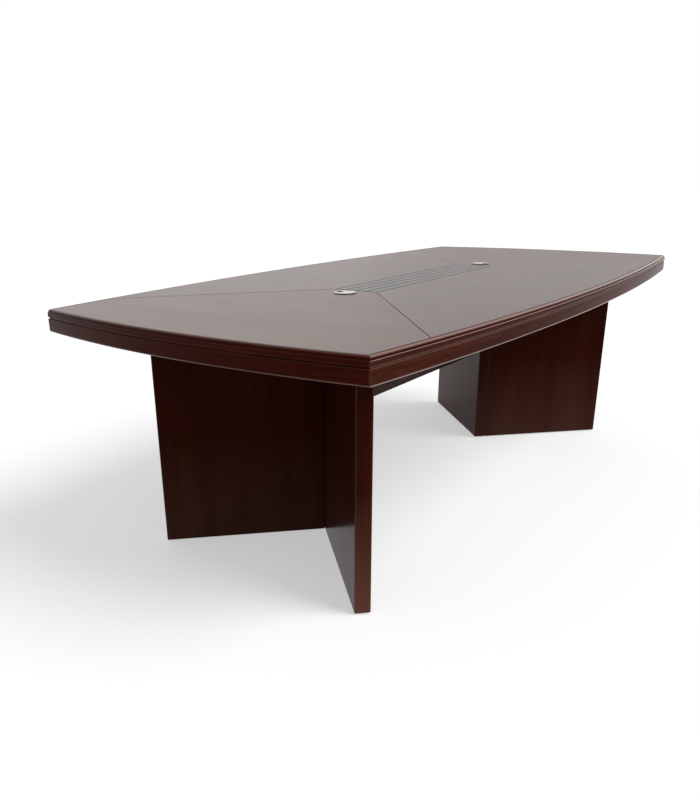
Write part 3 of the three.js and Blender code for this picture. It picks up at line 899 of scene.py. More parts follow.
@dataclass
class BoatPlan:
    """Plan of the top: four bowed edges, each an arc of a large circle centred on an axis of the table."""

    length: float = 2400 * MM
    width: float = 1200 * MM
    end_bow: float = 48 * MM
    side_bow: float = 68 * MM
    corner_radius: float = 8 * MM
    mitre_gap: float = 0.3 * MM
    # The rounded corners get more crest, which paints a highlight there
    corner_crest: float = 0.12
    corner_steps: int = 8

    def __post_init__(self) -> None:
        """Work out the arcs from the bows: radius = (half chord squared + bow squared) / (2 bow)."""
        half_length, half_width = self.length / 2, self.width / 2
        side_chord, end_chord = half_length - self.end_bow, half_width - self.side_bow
        self.side_radius = (side_chord**2 + self.side_bow**2) / (2 * self.side_bow)
        self.end_radius = (end_chord**2 + self.end_bow**2) / (2 * self.end_bow)
        self.side_centre = np.array([0.0, half_width - self.side_radius])
        self.end_centre = np.array([half_length - self.end_radius, 0.0])

    def corner(self, inset: Union[float, np.ndarray]) -> np.ndarray:
        """Where the side and end arcs cross when both are drawn in by an inset.

        Two circles of radii s and e whose centres are d apart cross at (s s - e e + d d) / (2 d) along
        the line of centres and at the root of s s less that squared across it.

        Args:
            inset: one inset or an array of them.

        Returns:
            The corner's plan point for each inset.
        """
        inset = np.asarray(inset, float)
        side, end = self.side_radius - inset, self.end_radius - inset
        line = self.end_centre - self.side_centre
        apart = np.linalg.norm(line)
        unit = line / apart
        along = (side**2 - end**2 + apart**2) / (2 * apart)
        across = np.sqrt(side**2 - along**2)
        normal = np.array([unit[1], -unit[0]])
        return self.side_centre + along[..., None] * unit + across[..., None] * normal

    def reach(self, edge: Edge, inset: Union[float, np.ndarray]) -> np.ndarray:
        """Half the angle that an edge's arc spans before its corner, or before the corner's own round.

        Args:
            edge: which kind of edge.
            inset: one inset or an array of them.

        Returns:
            The angle for each inset.
        """
        corner = self.corner(np.maximum(inset, self.corner_radius))
        if edge is Edge.END:
            return np.arctan2(corner[..., 1], corner[..., 0] - self.end_centre[0])
        return np.arctan2(corner[..., 0], corner[..., 1] - self.side_centre[1])

    def lines(self, edge: Edge, inset: np.ndarray, steps: int) -> np.ndarray:
        """The lines that points of a moulding's profile follow from mitre to mitre.

        A point at inset d runs on the arc of radius R - d, then round the corner's centre at radius r - d
        to the mitre; further in than the corner's radius it stops at the sharp corner.

        Args:
            edge: which kind of edge.
            inset: inset of each profile point, one dimension.
            steps: steps along the arc.

        Returns:
            Plan points, profile by station by two.
        """
        is_end = edge is Edge.END
        radius = self.end_radius if is_end else self.side_radius
        centre = self.end_centre if is_end else self.side_centre
        half = self.reach(edge, 0.0)
        other = self.reach(Edge.SIDE if is_end else Edge.END, 0.0)
        mitre = (half + QUARTER - other) / 2
        angle = edge.value + self.reach(edge, inset)[:, None] * np.linspace(-1, 1, steps + 1)
        middle = centre + (radius - inset)[:, None, None] * facing(angle)
        turn = np.linspace(mitre, half, self.corner_steps + 1)[:-1]
        signs = ((1, -1), (1, 1)) if is_end else ((1, 1), (-1, 1))
        first = self._round(inset, edge.value - turn, signs[0])
        last = self._round(inset, edge.value + turn[::-1], signs[1])
        back = facing(edge.value + (QUARTER - mitre) * np.array([1, -1])) * self.mitre_gap / 2
        first[:, 0] += back[0]
        last[:, -1] += back[1]
        return np.concatenate([first, middle, last], axis=1)

    def _round(self, inset: np.ndarray, angle: np.ndarray, sign: Tuple[int, int]) -> np.ndarray:
        """Points round one corner for each inset: about its centre, or all at the sharp corner."""
        spread = np.maximum(self.corner_radius - inset, 0.0)[:, None, None] * facing(angle)[None]
        return self.corner(np.maximum(inset, self.corner_radius))[:, None] * np.array(sign) + spread

    def moulding(self, edge: Edge, profile: np.ndarray, steps: int) -> Patch:
        """A closed profile carried along one edge, with mitred ends closed.

        The grain map holds the length along the edge and the length round the profile. To the profile's own
        crest c, which a polished finish paints as a highlight, the rounded corner adds its crest times
        (1 - |c|), growing towards the mitre.

        Args:
            edge: which kind of edge.
            profile: points of inset, level and crest.
            steps: steps along the arc.

        Returns:
            The moulding of the +X end or the +Y side.
        """
        inset, level, own = profile.T
        plan = self.lines(edge, inset, steps).transpose(1, 0, 2)
        rows, columns = plan.shape[:2]
        points = np.concatenate([plan, np.broadcast_to(level[None, :, None], (rows, columns, 1))], axis=-1)
        along, across = (
            np.concatenate([[0], np.cumsum(np.linalg.norm(np.diff(path, axis=0), axis=1))])
            for path in (plan[:, int(np.argmin(inset))], profile[:, :2])
        )
        grain = np.stack(np.broadcast_arrays(along[:, None], across[None, :]), axis=-1)
        turn = np.linspace(0, 1, self.corner_steps + 1)[1:]
        turn = np.concatenate([turn[::-1], np.zeros(steps + 1), turn])
        crest = own[None, :] + self.corner_crest * turn[:, None] * (1 - np.abs(own[None, :]))
        return Patch(points.reshape(-1, 3), capped_tube(rows, columns), grain.reshape(-1, 2), crest.ravel())

    def side_point(self, inset: float, start: np.ndarray, angle: float) -> np.ndarray:
        """Where a line from a point at an angle meets the side arc drawn in by an inset.

        With the start relative to the arc's centre q and the unit run u, the distance is
        root((q.u) squared - q.q + radius squared) - q.u.

        Args:
            inset: how far the arc is drawn in.
            start: where the line starts.
            angle: the line's direction.

        Returns:
            The plan point.
        """
        run = facing(np.array(angle))
        rel = start - self.side_centre
        radius = self.side_radius - inset
        ahead = float(rel @ run)
        return start + run * (math.sqrt(ahead**2 - float(rel @ rel) + radius**2) - ahead)

    def side_span(self, inset: float, first_x: float, last_x: float, steps: int) -> np.ndarray:
        """Points of the +Y side arc drawn in by an inset: y = centre + root(radius squared - x squared).

        Args:
            inset: how far the arc is drawn in.
            first_x: where the span starts along the table.
            last_x: where it ends.
            steps: steps between them.

        Returns:
            The plan points.
        """
        x = np.linspace(first_x, last_x, steps + 1)
        radius = self.side_radius - inset
        return np.stack([x, self.side_centre[1] + np.sqrt(radius**2 - x**2)], axis=-1)


@dataclass(frozen=True)
class EdgePolishAndHighlight:
    """How far the parts of one edge are crests: ovolo, ledge, shadow groove, the lips beside it and arris."""

    # A crest sets the part's polish and its painted highlight
    ovolo: float
    ledge: float
    groove: float
    lip: float
    arris: float


@dataclass
class Top:
    """The veneered top: field panels divided by grooves, a spine of strips, lipping and skirt."""

    veneer_along: Material
    veneer_across: Material
    veneer_spine: Material
    shaded_end_edge: Material
    side_edge: Material
    backing: Material
    plan: BoatPlan
    facing_thickness: float = 3 * MM
    lipping_width: float = 15 * MM
    ovolo_radius: float = 9 * MM
    ovolo_focus: float = 4.5
    ovolo_lean: float = 0.7
    # Painted shade where the ovolo ends in the ledge's inner corner
    ovolo_painted_shade: float = 0.8
    ledge_width: float = 2 * MM
    ledge_round: float = 1.8 * MM
    eased: float = 1 * MM
    skirt_width: float = 30 * MM
    groove_height: float = 4.2 * MM
    groove_depth: float = 4 * MM
    skirt_arris: float = 5 * MM
    spine_groove: float = 2.4 * MM
    mitre_groove: float = 0.5 * MM
    edge_groove: float = 0.4 * MM
    field_round: float = 1.3 * MM
    strip_count: int = 4
    strip_pitch: float = 37 * MM
    mitre_angle: float = math.radians(42)
    seat_groove: float = 3 * MM
    hole_radius: float = 30.3 * MM
    # The ends get weaker painted highlights than the sides, as less light falls on them; on the sides the
    # shaded groove is painted lighter
    end_polish_and_highlight: EdgePolishAndHighlight = EdgePolishAndHighlight(ovolo=0.18, ledge=0.05, groove=0.0, lip=0.2, arris=0.38)
    side_polish_and_highlight: EdgePolishAndHighlight = EdgePolishAndHighlight(ovolo=1.0, ledge=1.0, groove=0.3, lip=0.6, arris=1.0)
    field_steps: int = 3
    short_side_steps: int = 16
    long_side_steps: int = 96
    end_steps: int = 48
    hole_steps: int = 64
    end_edge_steps: int = 64
    side_edge_steps: int = 128
    ovolo_steps: int = 16
    ledge_steps: int = 6
    eased_steps: int = 4
    arris_steps: int = 10

    def build(self) -> None:
        """Build every visible piece of the top."""
        self._fields()
        self._spine()
        self._edges()
        dress(self.backing, "core_board")

    def _plate(self, outlines: Sequence[np.ndarray], drop: float = 0.0) -> Patch:
        """A field of veneer with rounded edges.

        Args:
            outlines: its outline, anticlockwise, and then any holes, clockwise.
            drop: how far its face lies below the level of the top.

        Returns:
            The closed plate.
        """
        low, high = TOP_LEVEL - self.facing_thickness, TOP_LEVEL - drop
        loops = [drawn_in(outline) for outline in outlines]
        return rounded_plate(loops, low, high, self.field_round, self.field_steps)

    def _fields(self) -> None:
        """Two end fields, each with a hole for its grommet, and two side fields.

        A mitre runs out from each corner of the spine, at the mitre's angle a. With half a spine groove h and
        half a mitre groove m, an end field starts h beyond the corner and (h sin a - m) / cos a beside it; a
        side field starts (h cos a - m) / sin a beyond it and h beside it.
        """
        inset = self.lipping_width + self.edge_groove
        half, slant = self.spine_groove / 2, self.mitre_groove / 2
        sine, cosine = math.sin(self.mitre_angle), math.cos(self.mitre_angle)
        spine_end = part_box("spine_strip_1")[1].x + self.seat_groove / 2
        corner = np.array([spine_end, self.strip_count * self.strip_pitch / 2])
        flip = np.array([1.0, -1.0])

        start = corner + (half, (half * sine - slant) / cosine)
        meet = self.plan.side_point(inset, start, self.mitre_angle)
        side = self.plan.side_span(inset, self.plan.corner(inset)[0], meet[0], self.short_side_steps)
        reach = float(self.plan.reach(Edge.END, inset))
        end = arc(self.plan.end_centre, self.plan.end_radius - inset, -reach, reach, self.end_steps)
        outline = np.concatenate([[start * flip], side[::-1] * flip, end[1:-1], side, [start]])
        least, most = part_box("grommet_liner_2")
        hole = arc(((least.x + most.x) / 2, 0.0), self.hole_radius, FULL_TURN, 0, self.hole_steps)[:-1]
        plate = self._plate([outline, hole], FIELD_DROP)
        self._pair("end_veneer", "end_field", plate, (self.veneer_across, self.backing), "veneer")

        start = corner + ((half * cosine - slant) / sine, half)
        meet = self.plan.side_point(inset, start, self.mitre_angle)
        side = self.plan.side_span(inset, meet[0], -meet[0], self.long_side_steps)
        plate = self._plate([np.concatenate([[-start * flip], [start], side])])
        self._pair("side_veneer", "side_field", plate, (self.veneer_along, self.backing), "veneer")

    def _spine(self) -> None:
        """The strips of the spine, with half a groove round each."""
        back = (self.spine_groove - self.seat_groove) / 2
        for number, node in enumerate(numbered("spine_strip", self.strip_count), 1):
            least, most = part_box(node)
            left, right, near, far = least.x + back, most.x - back, least.y + back, most.y - back
            plate = self._plate([np.array([(left, near), (right, near), (right, far), (left, far)])])
            piece = make_piece(f"spine_veneer_{number}", [plate], self.veneer_spine, self.backing)
            put_in(piece, "table", "veneer", node)

    def _edges(self) -> None:
        """Lipping and skirt along both ends and both sides."""
        ends = (Edge.END, "end", self.end_edge_steps, self.end_polish_and_highlight, self.shaded_end_edge)
        sides = (Edge.SIDE, "side", self.side_edge_steps, self.side_polish_and_highlight, self.side_edge)
        for edge, name, steps, polish_and_highlight, finish in (ends, sides):
            upper = self.plan.moulding(edge, self._lipping_profile(polish_and_highlight), steps)
            self._pair(f"{name}_lipping", f"lipping_{name}", upper, (finish,), "lipping")
            lower = self.plan.moulding(edge, self._skirt_profile(polish_and_highlight), steps)
            self._pair(f"{name}_skirt", f"skirt_{name}", lower, (finish,), "lipping")

    def _lipping_profile(self, polish_and_highlight: EdgePolishAndHighlight) -> np.ndarray:
        """Flat, ovolo, ledge and upright face.

        Args:
            polish_and_highlight: how far its parts are crests.

        Returns:
            Points of inset, level and crest.
        """
        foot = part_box("lipping_end_1")[0].z
        ovolo_end = self.ledge_width + self.ovolo_radius
        ledge = TOP_LEVEL - self.ovolo_radius
        e, r = self.eased, self.ledge_round
        ovolo = (polish_and_highlight.ovolo, self.ovolo_focus, self.ovolo_lean, self.ovolo_painted_shade)
        return np.concatenate(
            [
                corners((self.lipping_width, foot), (self.lipping_width, TOP_LEVEL)),
                crested((ovolo_end, ledge), self.ovolo_radius, QUARTER, math.pi, self.ovolo_steps, *ovolo),
                crested((r, ledge - r), r, QUARTER, math.pi, self.ledge_steps, polish_and_highlight.ledge),
                crested((e, foot + e), e, math.pi, 3 * QUARTER, self.eased_steps, polish_and_highlight.lip),
            ]
        )

    def _skirt_profile(self, polish_and_highlight: EdgePolishAndHighlight) -> np.ndarray:
        """Shadow groove, upright face and rounded lower arris.

        Args:
            polish_and_highlight: how far its parts are crests.

        Returns:
            Points of inset, level and crest.
        """
        least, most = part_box("skirt_end_1")
        face_top = most.z - self.groove_height
        e, r = self.eased, self.skirt_arris
        groove = ((self.groove_depth, most.z), (self.groove_depth, face_top))
        return np.concatenate(
            [
                corners((self.skirt_width, least.z), (self.skirt_width, most.z)),
                corners(*groove, crest=polish_and_highlight.groove),
                crested((e, face_top - e), e, QUARTER, math.pi, self.eased_steps, polish_and_highlight.lip),
                crested((r, least.z + r), r, math.pi, 3 * QUARTER, self.arris_steps, polish_and_highlight.arris),
            ]
        )

    @staticmethod
    def _pair(name: str, node: str, patch: Patch, finishes: Sequence[Material], slot: str) -> None:
        """Put in a piece and its twin half a turn round the table's middle.

        Args:
            name: the pieces' name without a number.
            node: the replaced nodes' name without a number.
            patch: the first piece's surface.
            finishes: its material, and that of its walls where it has another.
            slot: name of a material slot, passed on.
        """
        half_turn = Matrix.Rotation(math.pi, 4, "Z")
        for number, placed in ((1, patch), (2, patch.moved(half_turn))):
            put_in(make_piece(f"{name}_{number}", [placed], *finishes), "table", slot, f"{node}_{number}")


@dataclass(frozen=True)
class BracketScrews:
    """Pan-head screws with a cross recess, in the four holes of a bent bracket."""

    angle: float
    pitch: float
    hole_reach: float = 34 * MM
    leaf_face: float = 3.3 * MM
    leaf_spin: float = 0.9
    end_spin: float = 0.7
    radius: float = 4.4 * MM
    rise: float = 2.4 * MM
    sunk: float = 1.0 * MM
    bar: float = 0.8 * MM
    bar_reach: float = 2.9 * MM
    bar_fade: float = 0.5
    bar_depth: float = 1.5 * MM
    hub: float = 0.04
    ring_count: int = 13
    spoke_count: int = 40

    def head(self) -> Patch:
        """One head, standing on the XY plane.

        Its height at a share s of the radius is rise times the fourth root of (1 - s to the fourth), and
        the recess takes away its own depth where a point lies in either bar of the cross, fading out at the
        bars' ends.

        Returns:
            The closed head.
        """
        share = np.concatenate([[1.0], np.linspace(1.0, self.hub, self.ring_count)])[:, None]
        plan = self.radius * share[..., None] * spokes(self.spoke_count)
        in_bar = np.abs(plan).min(axis=-1) < self.bar
        out = np.linalg.norm(plan, axis=-1)
        fade = np.clip((self.bar_reach - out) / (self.bar_fade * self.bar_reach), 0, 1)
        height = self.rise * np.maximum(1 - share**4, 0.0) ** 0.25 - self.bar_depth * in_bar * fade
        height[0] = -self.sunk
        points = np.concatenate([plan, height[..., None]], axis=-1)
        return flat_patch(points.reshape(-1, 3), capped_tube(*points.shape[:2]))

    def at(self, where: Matrix) -> List[Patch]:
        """Heads in the holes of both leaves of a bracket.

        Args:
            where: matrix from the bracket's bend to the table.

        Returns:
            One head for each hole.
        """
        out = Vector((math.cos(self.angle), math.sin(self.angle), 0))
        lean = Vector((out.y, -out.x, 0))
        leaves = ((Vector((1, 0, 0)), Vector((0, 1, 0))), (out, lean))
        head, made = self.head(), []
        for index, (along, axis) in enumerate(leaves):
            aim = axis.to_track_quat("Z", "Y").to_matrix().to_4x4()
            for end in (-1, 1):
                spot = along * self.hole_reach + axis * self.leaf_face + Vector((0, 0, end * self.pitch / 2))
                spin = Matrix.Rotation(self.leaf_spin * index + self.end_spin * end, 4, "Z")
                made.append(head.moved(where @ Matrix.Translation(spot) @ aim @ spin))
        return made


@dataclass
class Pedestals:
    """Two V pedestals of upright panels, with their blocks, brackets, screws and glides."""

    veneer: Material
    floor_light_band: Material
    softwood: Material
    steel: Material
    screw_metal: Material
    nylon: Material
    arm: float = 551.5433 * MM
    thickness: float = 44 * MM
    edge_round: float = 4 * MM
    edge_steps: int = 6
    block_leg: float = 60 * MM
    bracket_inset: float = 110 * MM
    bracket_pitch: float = 22 * MM
    bracket_count: int = 4
    glide_count: int = 4

    def build(self) -> None:
        """Build the panels and screws of both pedestals and dress the other nodes."""
        slant = QUARTER / 2
        for number, place, turn in ((1, -APEX, math.pi - slant), (2, APEX, -slant)):
            where = Matrix.Translation((place, 0, 0)) @ Matrix.Rotation(turn, 4, "Z")
            self._panels(number, where)
            self._screws(number, where)
            dress(self.softwood, f"pedestal_{number}_corner_block")
            dress(self.steel, *numbered(f"pedestal_{number}_bracket", self.bracket_count))
            dress(self.nylon, *numbered(f"pedestal_{number}_glide", self.glide_count))

    def _panels(self, number: int, where: Matrix) -> None:
        """The butted panel along the pedestal's X and the through panel along its Y.

        Args:
            number: the pedestal's number.
            where: matrix from the pedestal's corner to the table.
        """
        least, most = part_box(f"pedestal_{number}_through_panel")
        inside = self.thickness + SEAT_GAP
        stand = Matrix(((1, 0, 0, 0), (0, 0, 1, 0), (0, 1, 0, 0), (0, 0, 0, 1)))
        cross = Matrix(((0, 0, 1, 0), (1, 0, 0, 0), (0, 1, 0, 0), (0, 0, 0, 1)))
        for kind, start, lay in (("butted", inside, stand), ("through", 0.0, cross)):
            face = rounded_rectangle(start, self.arm, least.z, most.z, self.edge_round)
            plate = rounded_plate([face], 0.0, self.thickness, self.edge_round, self.edge_steps)
            # Faces that look along the panel's run take the band, whose foot is painted bright as light from
            # the floor
            run = looking((where @ lay).to_3x3() @ Vector((1, 0, 0)))
            placed = plate.moved(where @ lay)
            piece = make_piece(f"pedestal_{number}_{kind}_leg", [placed], self.veneer, self.floor_light_band, run)
            put_in(piece, "table", "veneer", f"pedestal_{number}_{kind}_panel")

    def _screws(self, number: int, where: Matrix) -> None:
        """Four screws in each bracket of one pedestal.

        Args:
            number: the pedestal's number.
            where: matrix from the pedestal's corner to the table.
        """
        inside = self.thickness + SEAT_GAP
        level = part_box("mounting_board_1")[0].z
        lay = Matrix.Rotation(-QUARTER, 4, "X")
        screws = BracketScrews(QUARTER, self.bracket_pitch)
        patches: List[Patch] = []
        for run in (inside + self.block_leg + self.bracket_inset, self.arm - self.bracket_inset):
            on_through = Matrix.Translation((self.thickness, run, level))
            on_butted = Matrix.Translation((run, self.thickness, level)) @ Matrix.Rotation(QUARTER, 4, "Z")
            patches += screws.at(where @ on_through @ lay) + screws.at(where @ on_butted @ lay)
        put_in(make_piece(f"pedestal_{number}_screws", patches, self.screw_metal), "table", "black_steel")


@dataclass
class Underframe:
    """The modesty beam between the pedestals, and the boards, rails, cleats and brackets under the core."""

    veneer: Material
    board: Material
    softwood: Material
    steel: Material
    screw_metal: Material
    thickness: float = 26 * MM
    ease: float = 1.5 * MM
    ease_steps: int = 3
    bracket_pitch: float = 60 * MM
    bracket_count: int = 4

    def build(self) -> None:
        """Build the beam and its screws, and dress the other nodes."""
        self._beam()
        self._screws()
        dress(self.board, *numbered("mounting_board", 2))
        dress(self.softwood, *numbered("stiffener_rail", 2), "centre_rail", *numbered("beam_cleat", 2))
        dress(self.steel, *numbered("beam_bracket", self.bracket_count))

    def _beam(self) -> None:
        """A board on edge whose ends are bird's mouths over the pedestals' corners."""
        least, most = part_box("modesty_beam")
        half = self.thickness / 2
        mouth = APEX - SEAT_GAP * math.sqrt(2)
        tip = mouth + half
        outline = [(mouth, 0.0), (tip, half), (-tip, half), (-mouth, 0.0), (-tip, -half), (tip, -half)]
        loop = drawn_in(np.array(outline))
        plate = rounded_plate([loop], least.z, most.z, self.ease, self.ease_steps)
        put_in(make_piece("beam_board", [plate], self.veneer), "table", "veneer", "modesty_beam")

    def _screws(self) -> None:
        """Four screws in each bracket of the beam."""
        least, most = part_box("beam_bracket_1")
        level = (least.z + most.z) / 2
        half, lean = self.thickness / 2, QUARTER / 2
        screws = BracketScrews(math.pi - lean, self.bracket_pitch)
        places = ((1, 1, lean), (-1, 1, 0.0), (-1, -1, math.pi + lean), (1, -1, math.pi))
        patches: List[Patch] = []
        for end, side, turn in places:
            bend = Matrix.Translation((end * (APEX + half), side * half, level))
            patches += screws.at(bend @ Matrix.Rotation(turn, 4, "Z"))
        put_in(make_piece("beam_screws", patches, self.screw_metal), "table", "black_steel")


@dataclass
class Grommets:
    """Two cable grommets: a flanged liner in the top and a slotted cap that turns in it."""

    metal: Material
    # The inside finish paints the grommet's upright faces dark, as the shade in the bore and slot
    inside: Material
    flange_radius: float = 35 * MM
    flange_round: float = 1.5 * MM
    barrel_radius: float = 30 * MM
    wall: float = 4 * MM
    seat_lip: float = 1.5 * MM
    recess_round: float = 0.4 * MM
    clearance: float = 0.4 * MM
    slot_width: float = 18 * MM
    slot_reach: float = 20 * MM
    cap_ease: float = 0.6 * MM
    spigot_wall: float = 2.5 * MM
    spigot_ease: float = 0.3 * MM
    spigot_overlap: float = 0.2 * MM
    seat: float = TOP_LEVEL + SEAT_GAP
    liner_steps: int = 128
    flange_steps: int = 8
    recess_steps: int = 4
    rim_steps: int = 96
    slot_steps: int = 24
    cap_ease_steps: int = 4
    spigot_steps: int = 72
    spigot_ease_steps: int = 2

    def build(self) -> None:
        """Build both grommets."""
        for number, end in ((1, -1), (2, 1)):
            least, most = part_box(f"grommet_liner_{number}")
            where = Matrix.Translation(((least.x + most.x) / 2, 0, 0))
            liner = turned_ring(self._liner_profile(least.z, most.z), self.liner_steps).moved(where)
            piece = make_piece(f"grommet_ring_{number}", [liner], self.metal, self.inside)
            put_in(piece, "table", "satin_nickel", f"grommet_liner_{number}")
            turn = Matrix.Rotation(-end * QUARTER, 4, "Z")
            cap = [patch.moved(where @ turn) for patch in self._cap(number)]
            piece = make_piece(f"grommet_lid_{number}", cap, self.metal, self.inside)
            put_in(piece, f"grommet_cap_{number}", "satin_nickel", f"grommet_cap_{number}")

    def _liner_profile(self, low: float, high: float) -> np.ndarray:
        """Section of the liner: barrel, flange with a rounded rim, recess for the cap and bore.

        Args:
            low: the barrel's lower end.
            high: the flange's upper face.

        Returns:
            Points of radius and level.
        """
        bore = self.barrel_radius - self.wall
        recess = self.barrel_radius - self.seat_lip
        under = self.seat - FIELD_DROP
        r, lip = self.flange_round, self.recess_round
        return np.concatenate(
            [
                [(bore, low), (self.barrel_radius, low)],
                [(self.barrel_radius, under), (self.flange_radius, under)],
                arc((self.flange_radius - r, high - r), r, 0, QUARTER, self.flange_steps),
                arc((recess + lip, high - lip), lip, QUARTER, math.pi, self.recess_steps),
                [(recess, self.seat), (bore, self.seat)],
            ]
        )

    def _cap(self, number: int) -> List[Patch]:
        """A disc with a round-ended slot at its rim, and the C-shaped spigot under it.

        Args:
            number: the cap's number.

        Returns:
            Both surfaces about the Z axis, with the slot towards +X.
        """
        least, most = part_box(f"grommet_cap_{number}")
        rim = self.barrel_radius - self.seat_lip - self.clearance
        spigot = self.barrel_radius - self.wall - self.clearance
        lip = spigot - self.spigot_wall
        underside = self.seat + self.clearance
        half = self.slot_width / 2
        gap, outer, inner = (math.asin(half / radius) for radius in (rim, spigot, lip))
        slot = arc((rim - self.slot_reach + half, 0), half, -QUARTER, -3 * QUARTER, self.slot_steps)
        disc = np.concatenate([arc((0, 0), rim, gap, FULL_TURN - gap, self.rim_steps), slot])
        outside = arc((0, 0), spigot, outer, FULL_TURN - outer, self.spigot_steps)
        within = arc((0, 0), lip, FULL_TURN - inner, inner, self.spigot_steps)
        sleeve = drawn_in(np.concatenate([outside, within]))
        top = underside + self.spigot_overlap
        return [
            rounded_plate([drawn_in(disc)], underside, most.z, self.cap_ease, self.cap_ease_steps),
            rounded_plate([sleeve], least.z, top, self.spigot_ease, self.spigot_ease_steps),
        ]


@dataclass
class Studio:
    """Pale floor, soft light and the camera."""

    floor_radius: float = 60.0
    floor_thickness: float = 20 * MM
    floor_round: float = 5 * MM
    floor_steps: int = 96
    floor_round_steps: int = 2
    floor_colour: Colour = (0.99, 0.99, 0.99)
    floor_bounce: Colour = (0.55, 0.55, 0.55)
    floor_white: float = 0.45
    floor_roughness: float = 0.85
    floor_specular: float = 0.1
    mottle: Layer = Layer(30.0, detail=3.0)
    mottle_shade: float = 0.985
    sky_low: float = 0.92
    sky_high: float = 0.32
    sun_from: Tuple[float, float, float] = (0.35, -0.85, 0.90)
    sun_power: float = 2.8
    sun_spread: float = math.radians(38)
    fill_from: Tuple[float, float, float] = (0.45, 0.85, 0.28)
    fill_power: float = 0.17
    fill_spread: float = math.radians(60)
    lamp_distance: float = 4.0
    eye: Tuple[float, float, float] = (-2.304026, -1.272539, 1.063440)
    heading: float = math.radians(37.992)
    tilt: float = math.radians(-20.019)
    roll: float = math.radians(-1.078)
    focal_pixels: float = 725.567
    axis_pixel: Tuple[float, float] = (307.033, 447.891)
    frame_pixels: Tuple[int, int] = (700, 800)
    sensor: float = 36.0
    view_depth: float = 200.0

    def build(self) -> None:
        """Build the floor, the light and the camera; the key light stays out of mirror reflections."""
        bpy.context.scene.view_settings.view_transform = "Standard"
        self._camera()
        self._floor()
        self._sky()
        key = self._lamp("key_light", self.sun_from, self.sun_power, self.sun_spread)
        key.visible_glossy = False
        self._lamp("fill_light", self.fill_from, self.fill_power, self.fill_spread)

    def _camera(self) -> None:
        """A camera at the photograph's place: the heading, tilt and roll turn it about its own axes."""
        lens = bpy.data.cameras.new("photograph_view")
        wide, tall = self.frame_pixels
        lens.sensor_fit = "AUTO"
        lens.sensor_width = self.sensor
        lens.lens = self.focal_pixels * self.sensor / max(wide, tall)
        lens.shift_x = (wide / 2 - self.axis_pixel[0]) / max(wide, tall)
        lens.shift_y = (self.axis_pixel[1] - tall / 2) / max(wide, tall)
        lens.clip_end = self.view_depth
        look = Matrix.Rotation(self.heading - QUARTER, 4, "Z") @ Matrix.Rotation(QUARTER + self.tilt, 4, "X")
        camera = bpy.data.objects.new("photograph_view", lens)
        camera.matrix_world = Matrix.Translation(self.eye) @ look @ Matrix.Rotation(self.roll, 4, "Z")
        bpy.context.scene.collection.objects.link(camera)
        bpy.context.scene.camera = camera

    @staticmethod
    def _shown(g: Graph) -> Signal:
        """One for a ray that shows the studio: seen, mirrored, or through a clear piece."""
        kinds = ("Is Camera Ray", "Is Glossy Ray", "Is Transmission Ray")
        return sum(g.node("ShaderNodeLightPath", {}, {}, kind) for kind in kinds).clamped()

    def _floor(self) -> None:
        """A round floor at zero, finely mottled so that it isn't one flat colour."""
        made, g = surface_shader("studio_floor")
        shade = tuple(share * self.mottle_shade for share in self.floor_colour)
        paper = g.blend(g.noise(g.place(), self.mottle), opaque(shade), opaque(self.floor_colour))
        shown = self._shown(g)
        skin = {
            "Base Color": g.blend(shown, opaque(self.floor_bounce), paper),
            "Roughness": self.floor_roughness,
            "Specular IOR Level": self.floor_specular,
        }
        lit = g.node("ShaderNodeBsdfPrincipled", {}, skin)
        white = g.node("ShaderNodeEmission", {}, {"Color": WHITE, "Strength": 1.0})
        mixed = g.node("ShaderNodeMixShader", {}, {0: shown * self.floor_white, 1: lit, 2: white})
        g.node("ShaderNodeOutputMaterial", {}, {"Surface": mixed})
        rim = drawn_in(self.floor_radius * spokes(self.floor_steps))
        plate = rounded_plate([rim], -self.floor_thickness, 0.0, self.floor_round, self.floor_round_steps)
        floor = make_piece("studio_floor", [plate], made)

    def _sky(self) -> None:
        """Soft light from all round, brighter low down; it is plain white where it is seen or mirrored."""
        world = bpy.data.worlds.new("studio_sky")
        bpy.context.scene.world = world
        world.use_nodes = True
        g = Graph(world.node_tree)
        place = g.node("ShaderNodeTexCoord", {}, {}, "Generated")
        rise = g.node("ShaderNodeSeparateXYZ", {}, {0: place}, "Z")
        light = rise.clamped() * (self.sky_high - self.sky_low) + self.sky_low
        shown = self._shown(g)
        strength = light * (1.0 - shown) + shown
        glow = g.node("ShaderNodeBackground", {}, {"Color": WHITE, "Strength": strength})
        g.node("ShaderNodeOutputWorld", {}, {"Surface": glow})

    def _lamp(self, name: str, source: Sequence[float], power: float, spread: float) -> bpy.types.Object:
        """A broad soft light from one direction, the same all over the floor.

        Args:
            name: the lamp's name.
            source: the direction that it shines from.
            power: its strength.
            spread: the angle that it seems to span.

        Returns:
            The lamp.
        """
        light = bpy.data.lights.new(name, "SUN")
        light.energy = power
        light.angle = spread
        lamp = bpy.data.objects.new(name, light)
        turn = (-Vector(source)).to_track_quat("-Z", "Y").to_matrix().to_4x4()
        lamp.matrix_world = Matrix.Translation(Vector(source) * self.lamp_distance) @ turn
        bpy.context.scene.collection.objects.link(lamp)
        return lamp


